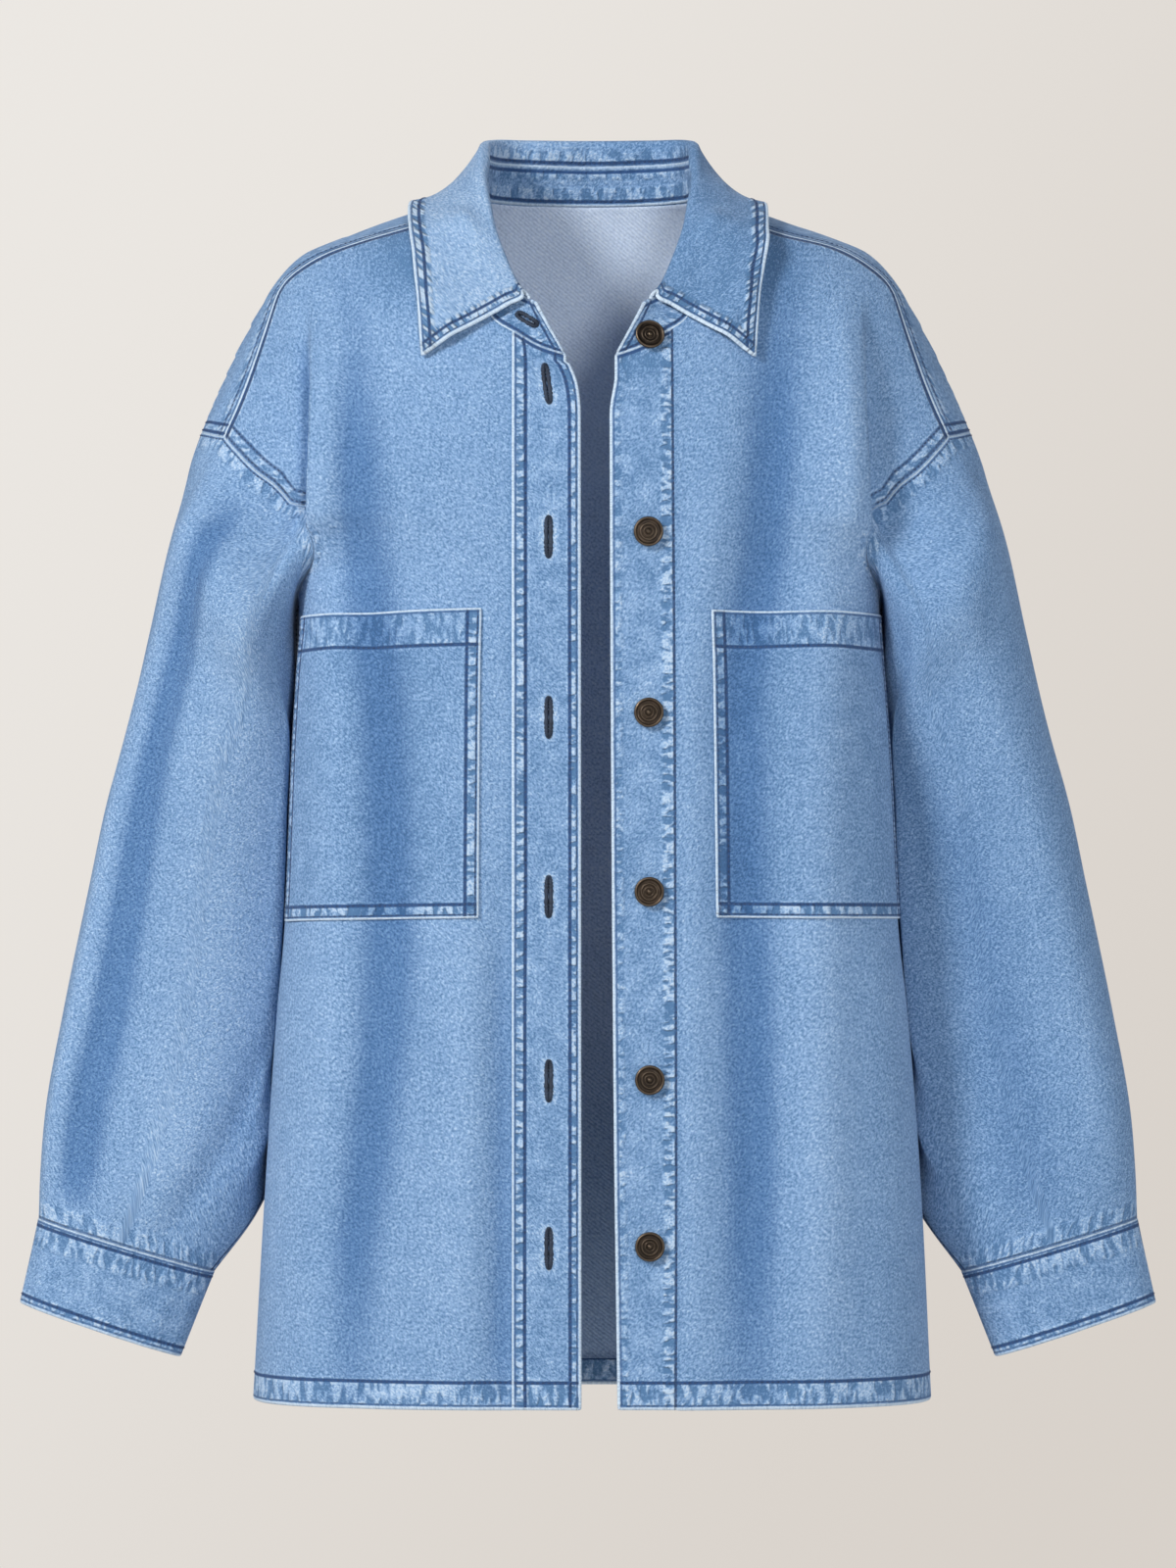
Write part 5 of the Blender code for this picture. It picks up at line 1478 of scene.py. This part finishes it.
sew("collar_stand", [stand], standCut, [("low", 0.0022), ("left", 0.0050), ("right", 0.0050)],
    quads=quads[keep])
insideLine = stand.line("low", 0.0022)
insideLine[:, :3] -= unit(insideLine[:, 3:]) * doubled
insideLine[:, 3:] *= -1
stitchLine("collar_stand", insideLine)
slitAt = [int(np.argmin(np.abs(standAt + at))) for at in (*standSizes["slit"], sum(standSizes["slit"]) / 2)]
first, last, at = grid[slitRow, slitAt]
slitLong = np.linalg.norm(last - first) + 0.001
along = unit(grid[slitRow, slitAt[2] + 1] - grid[slitRow, slitAt[2] - 1])
holes.append((at, along, stand.normals[slitRow, slitAt[2]], slitLong, 0.0036))


# What the leaf lies on: a strip's surface as a tree, coarsely, turned as its normals are
def treeOf(strip, across):
    sheet = Strip(strip.grid[::3, ::across], strip.normals[::3, ::across])
    quads = sheet.quads(against(gridNormals(sheet.grid), sheet.normals))
    return BVHTree.FromPolygons(sheet.grid.reshape(-1, 3).tolist(), quads.tolist())


underLeaf = [treeOf(strip, 3) for strip in (edgesFront[-1]["strip"], edgesFront[1]["strip"], *halves)]
underLeaf.append(treeOf(stand, 2))


# Points moved out until they are at least so far above the trees' surfaces
def liesOver(points, under, least):
    moved = []
    for point in points:
        point = Vector(point)
        for tree in under * 2:
            place, out, index, far = tree.find_nearest(point)
            height = (point - place).dot(out)
            if far < nearEnough and height < least:
                point = point + out * (least - height)
        moved.append(tuple(point))
    return np.array(moved)


nearEnough = 0.03
foldSteps = 8
riseAt = easeRows(leafSizes["rise"])
edgeZ, edgeT = through(leafSizes["edge"])
coarseGrid, coarseAt = standGrid(18, np.linspace(0, 1, 4))
coarseOut = gridNormals(coarseGrid.transpose(1, 0, 2)).transpose(1, 0, 2)
coarseOut, _ = turnedOut(coarseOut, coarseOut[0, 0, 1] > 0)
sections = []
for row, at in enumerate(coarseAt):
    if abs(at) > leafSizes["end"] + 1e-6:
        continue
    side = -1 if at < 0 else 1
    place = abs(at) / leafSizes["end"]
    up = unit(coarseGrid[row, -1] - coarseGrid[row, -2])
    out = unit(coarseOut[row, -1] - up * (coarseOut[row, -1] @ up))
    seam = coarseGrid[row, -1] - coarseOut[row, -1] * doubled + up * leafSizes["gap"]
    under, underOutward, _ = surface(side, float(edgeZ(place)), float(edgeT(place)))
    edge = under + underOutward * leafSizes["lift"]
    inner = max(float(riseAt(place)) - leafSizes["roll"], seamGap)
    centre = seam + up * inner + out * leafSizes["roll"]
    section = [seam, seam + up * inner * 0.5]
    for step in range(foldSteps + 1):
        a = math.pi * step / foldSteps
        section.append(centre + leafSizes["roll"] * (-math.cos(a) * out + math.sin(a) * up))
    start = section[-1]
    reach = edge - start
    ahead = np.clip((place - 0.10) / 0.18, 0, 1)
    leave = unit(unit(reach) * ahead - up * (1 - ahead))
    first = start + leave * min(0.3 * np.linalg.norm(reach), 0.020)
    second = edge - reach * 0.35
    for t in (0.15, 0.3, 0.45, 0.6, 0.75, 0.88, 1.0):
        u = 1 - t
        section.append(start * u ** 3 + 3 * first * t * u ** 2 + 3 * second * t * t * u + edge * t ** 3)
    sections.append(section)
leaf = np.array(sections)
firstFree = foldSteps + 3
free = leaf[:, firstFree:]
moved = np.zeros(free.shape)
for _ in range(leafSizes["settles"]):
    moved = liesOver(
        (free + moved).reshape(-1, 3), underLeaf, doubled + leafSizes["clear"]).reshape(free.shape) - free
    padded = np.pad(moved, ((1, 1), (1, 1), (0, 0)), mode="edge")
    beside = padded[2:, 1:-1] + padded[:-2, 1:-1] + padded[1:-1, 2:] + padded[1:-1, :-2]
    moved = moved / 2 + beside / 8
settled = liesOver((free + moved).reshape(-1, 3), underLeaf, doubled + leafSizes["clear"] / 2)
leaf[:, firstFree:] = settled.reshape(free.shape)
stationParts = spread(leafSizes["long"], 0.0022, (0.0, leafSizes["long"]), 0.0007)
leaf = loft(leaf, stationParts)                       # along the collar
lengthUp = float(runs(leaf, 1)[0][:, -1].max())
leaf = loft(leaf.transpose(1, 0, 2), spread(lengthUp, 0.0020, (lengthUp,), 0.0007))
normals = gridNormals(leaf)
normals, leafFlip = turnedOut(normals, normals[leaf.shape[0] // 2, leaf.shape[1] // 2, 1] < 0)
collar = Strip(leaf, normals, None, False, True)
leafRim = {"white": 1.0, "whiteWide": 0.0006, "rows": (0.0062,), "ladder": (0.0012, 0.0088, 1.3)}
collarCut = {"seed": 10.0, "tone": 0.04, "cloud": 1.0, "paintedSideLight": 0.85, "edges": {
    "left": leafRim, "right": leafRim, "high": leafRim,
    "low": {"white": 0.9, "rows": (0.0026,), "ladder": (0.0010, 0.0090, 0.5)},
}}
sew("collar", [collar], collarCut, [
    ("left", 0.0062, 0.30, 0.93), ("right", 0.0062, 0.30, 0.93),
    ("high", 0.0062, 0.02, 0.98), ("low", 0.0026),
], flip=leafFlip)
print("stage: collar")

rings = np.concatenate([boundHole(*one) for one in holes])
starts = np.arange(0, len(rings), hole["steps"] * hole["sides"])
faces = (starts[:, None, None] + tubeFaces(hole["steps"], hole["sides"], True, True)).reshape(-1, 4)
bound = meshObject("buttonhole_thread", rings, faces, {}, [binding])
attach(bound, "root")


# Buttons

buttons = {
    "heights": [-0.2016, -0.3086, -0.4147, -0.5261, -0.6247], "fromCentre": 0.0345,
    "profile": [
        # radius, height, how worn
        (0.0036, -0.0002, 0.2), (0.0032, 0.0012, 0.2), (0.0060, 0.0018, 0.2), (0.0082, 0.0022, 0.3),
        (0.0087, 0.0028, 0.5), (0.0088, 0.0034, 0.8), (0.0085, 0.0040, 1.0), (0.0079, 0.0043, 1.0),
        (0.0074, 0.0041, 0.6), (0.0070, 0.0036, 0.1), (0.0062, 0.0035, 0.1), (0.0053, 0.0036, 0.2),
        (0.0049, 0.0040, 0.9), (0.0045, 0.0040, 0.8), (0.0041, 0.0035, 0.1), (0.0033, 0.0034, 0.15),
        (0.0029, 0.0037, 0.7), (0.0025, 0.0037, 0.6), (0.0021, 0.0033, 0.1), (0.0015, 0.0034, 0.3),
        (0.0011, 0.0040, 0.9), (0.0006, 0.0043, 1.0), (0.0001, 0.0044, 1.0),
    ],
    "rings": 67, "sides": 64,
}


def button(name, place, out, lift=seamGap):
    base = np.array(place) + np.array(out) * lift
    turned = Vector(out).to_track_quat("Z", "Y")
    rings, worn = [], []
    fine = np.linspace(0, 1, buttons["rings"])
    knots = np.linspace(0, 1, len(buttons["profile"]))
    radii, heights, wear = [np.interp(fine, knots, column(buttons["profile"], i)) for i in range(3)]
    for radius, height, w in zip(radii, heights, wear):
        for i in range(buttons["sides"]):
            a = 2 * math.pi * i / buttons["sides"]
            rings.append(
                np.array(turned @ Vector((radius * math.cos(a), radius * math.sin(a), height))) + base)
            worn.append(w)
    piece = meshObject(name, rings, tubeFaces(buttons["rings"], buttons["sides"]),
                       {"proud": np.array(worn)}, [brass])
    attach(piece, "root")
    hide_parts(name)


def onStand(values):
    low, high = [readOff(standSizes["button"], standAt, values[row]) for row in (0, -1)]
    return low * (1 - standSizes["buttonHeight"]) + high * standSizes["buttonHeight"]


button("button_1", onStand(grid), unit(onStand(stand.normals)), standSizes["buttonLift"])
for i, height in enumerate(buttons["heights"], 2):
    place, out, _ = surface(1, height, float(turnAt(buttons["fromCentre"], height)))
    button(f"button_{i}", place, out)
print("stage: buttons")


# Each piece in place of the node it replaces, with its stitches

sheets = {
    # piece, then the node it replaces, flat width, flat length, how held
    "back": ("back", 0.60, 0.78, "hung"),
    "front_left": ("front_left", 0.26, 0.76, "hung"),
    "facing_left": ("placket_left", 0.040, 0.64, "folded"),
    "front_right": ("front_right", 0.22, 0.76, "hung"),
    "placket_right": ("placket_right", 0.040, 0.64, "folded"),
    "pocket_left": ("pocket_left", 0.12, 0.19, "laid"),
    "pocket_right": ("pocket_right", 0.12, 0.19, "laid"),
    "sleeve_left": ("sleeve_left", 0.42, 0.53, "hung"),
    "sleeve_right": ("sleeve_right", 0.42, 0.53, "hung"),
    "cuff_left": ("cuff_left", 0.24, 0.052, "folded"),
    "cuff_right": ("cuff_right", 0.24, 0.052, "folded"),
    "collar_stand": ("collar_stand", 0.42, 0.034, "folded"),
    "collar": ("collar", 0.44, 0.085, "folded"),
}


def oneSide(piece):
    return sum(face.area for face in piece.data.polygons) / 2


for name, (node, width, length, held) in sheets.items():
    piece = made[name]
    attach(piece, "root")
    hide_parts(node)
    print(f"{name}: {len(piece.data.polygons) * 2} triangles, {oneSide(piece):.4f} m2")
for name, (node, width, length, held) in sheets.items():
    extra = [sewn(name)] if name in threads else []
    if name == "placket_right":
        extra.append(bound)
print("stage: sheets", sum(len(piece.data.polygons) * 2 for piece in made.values()))
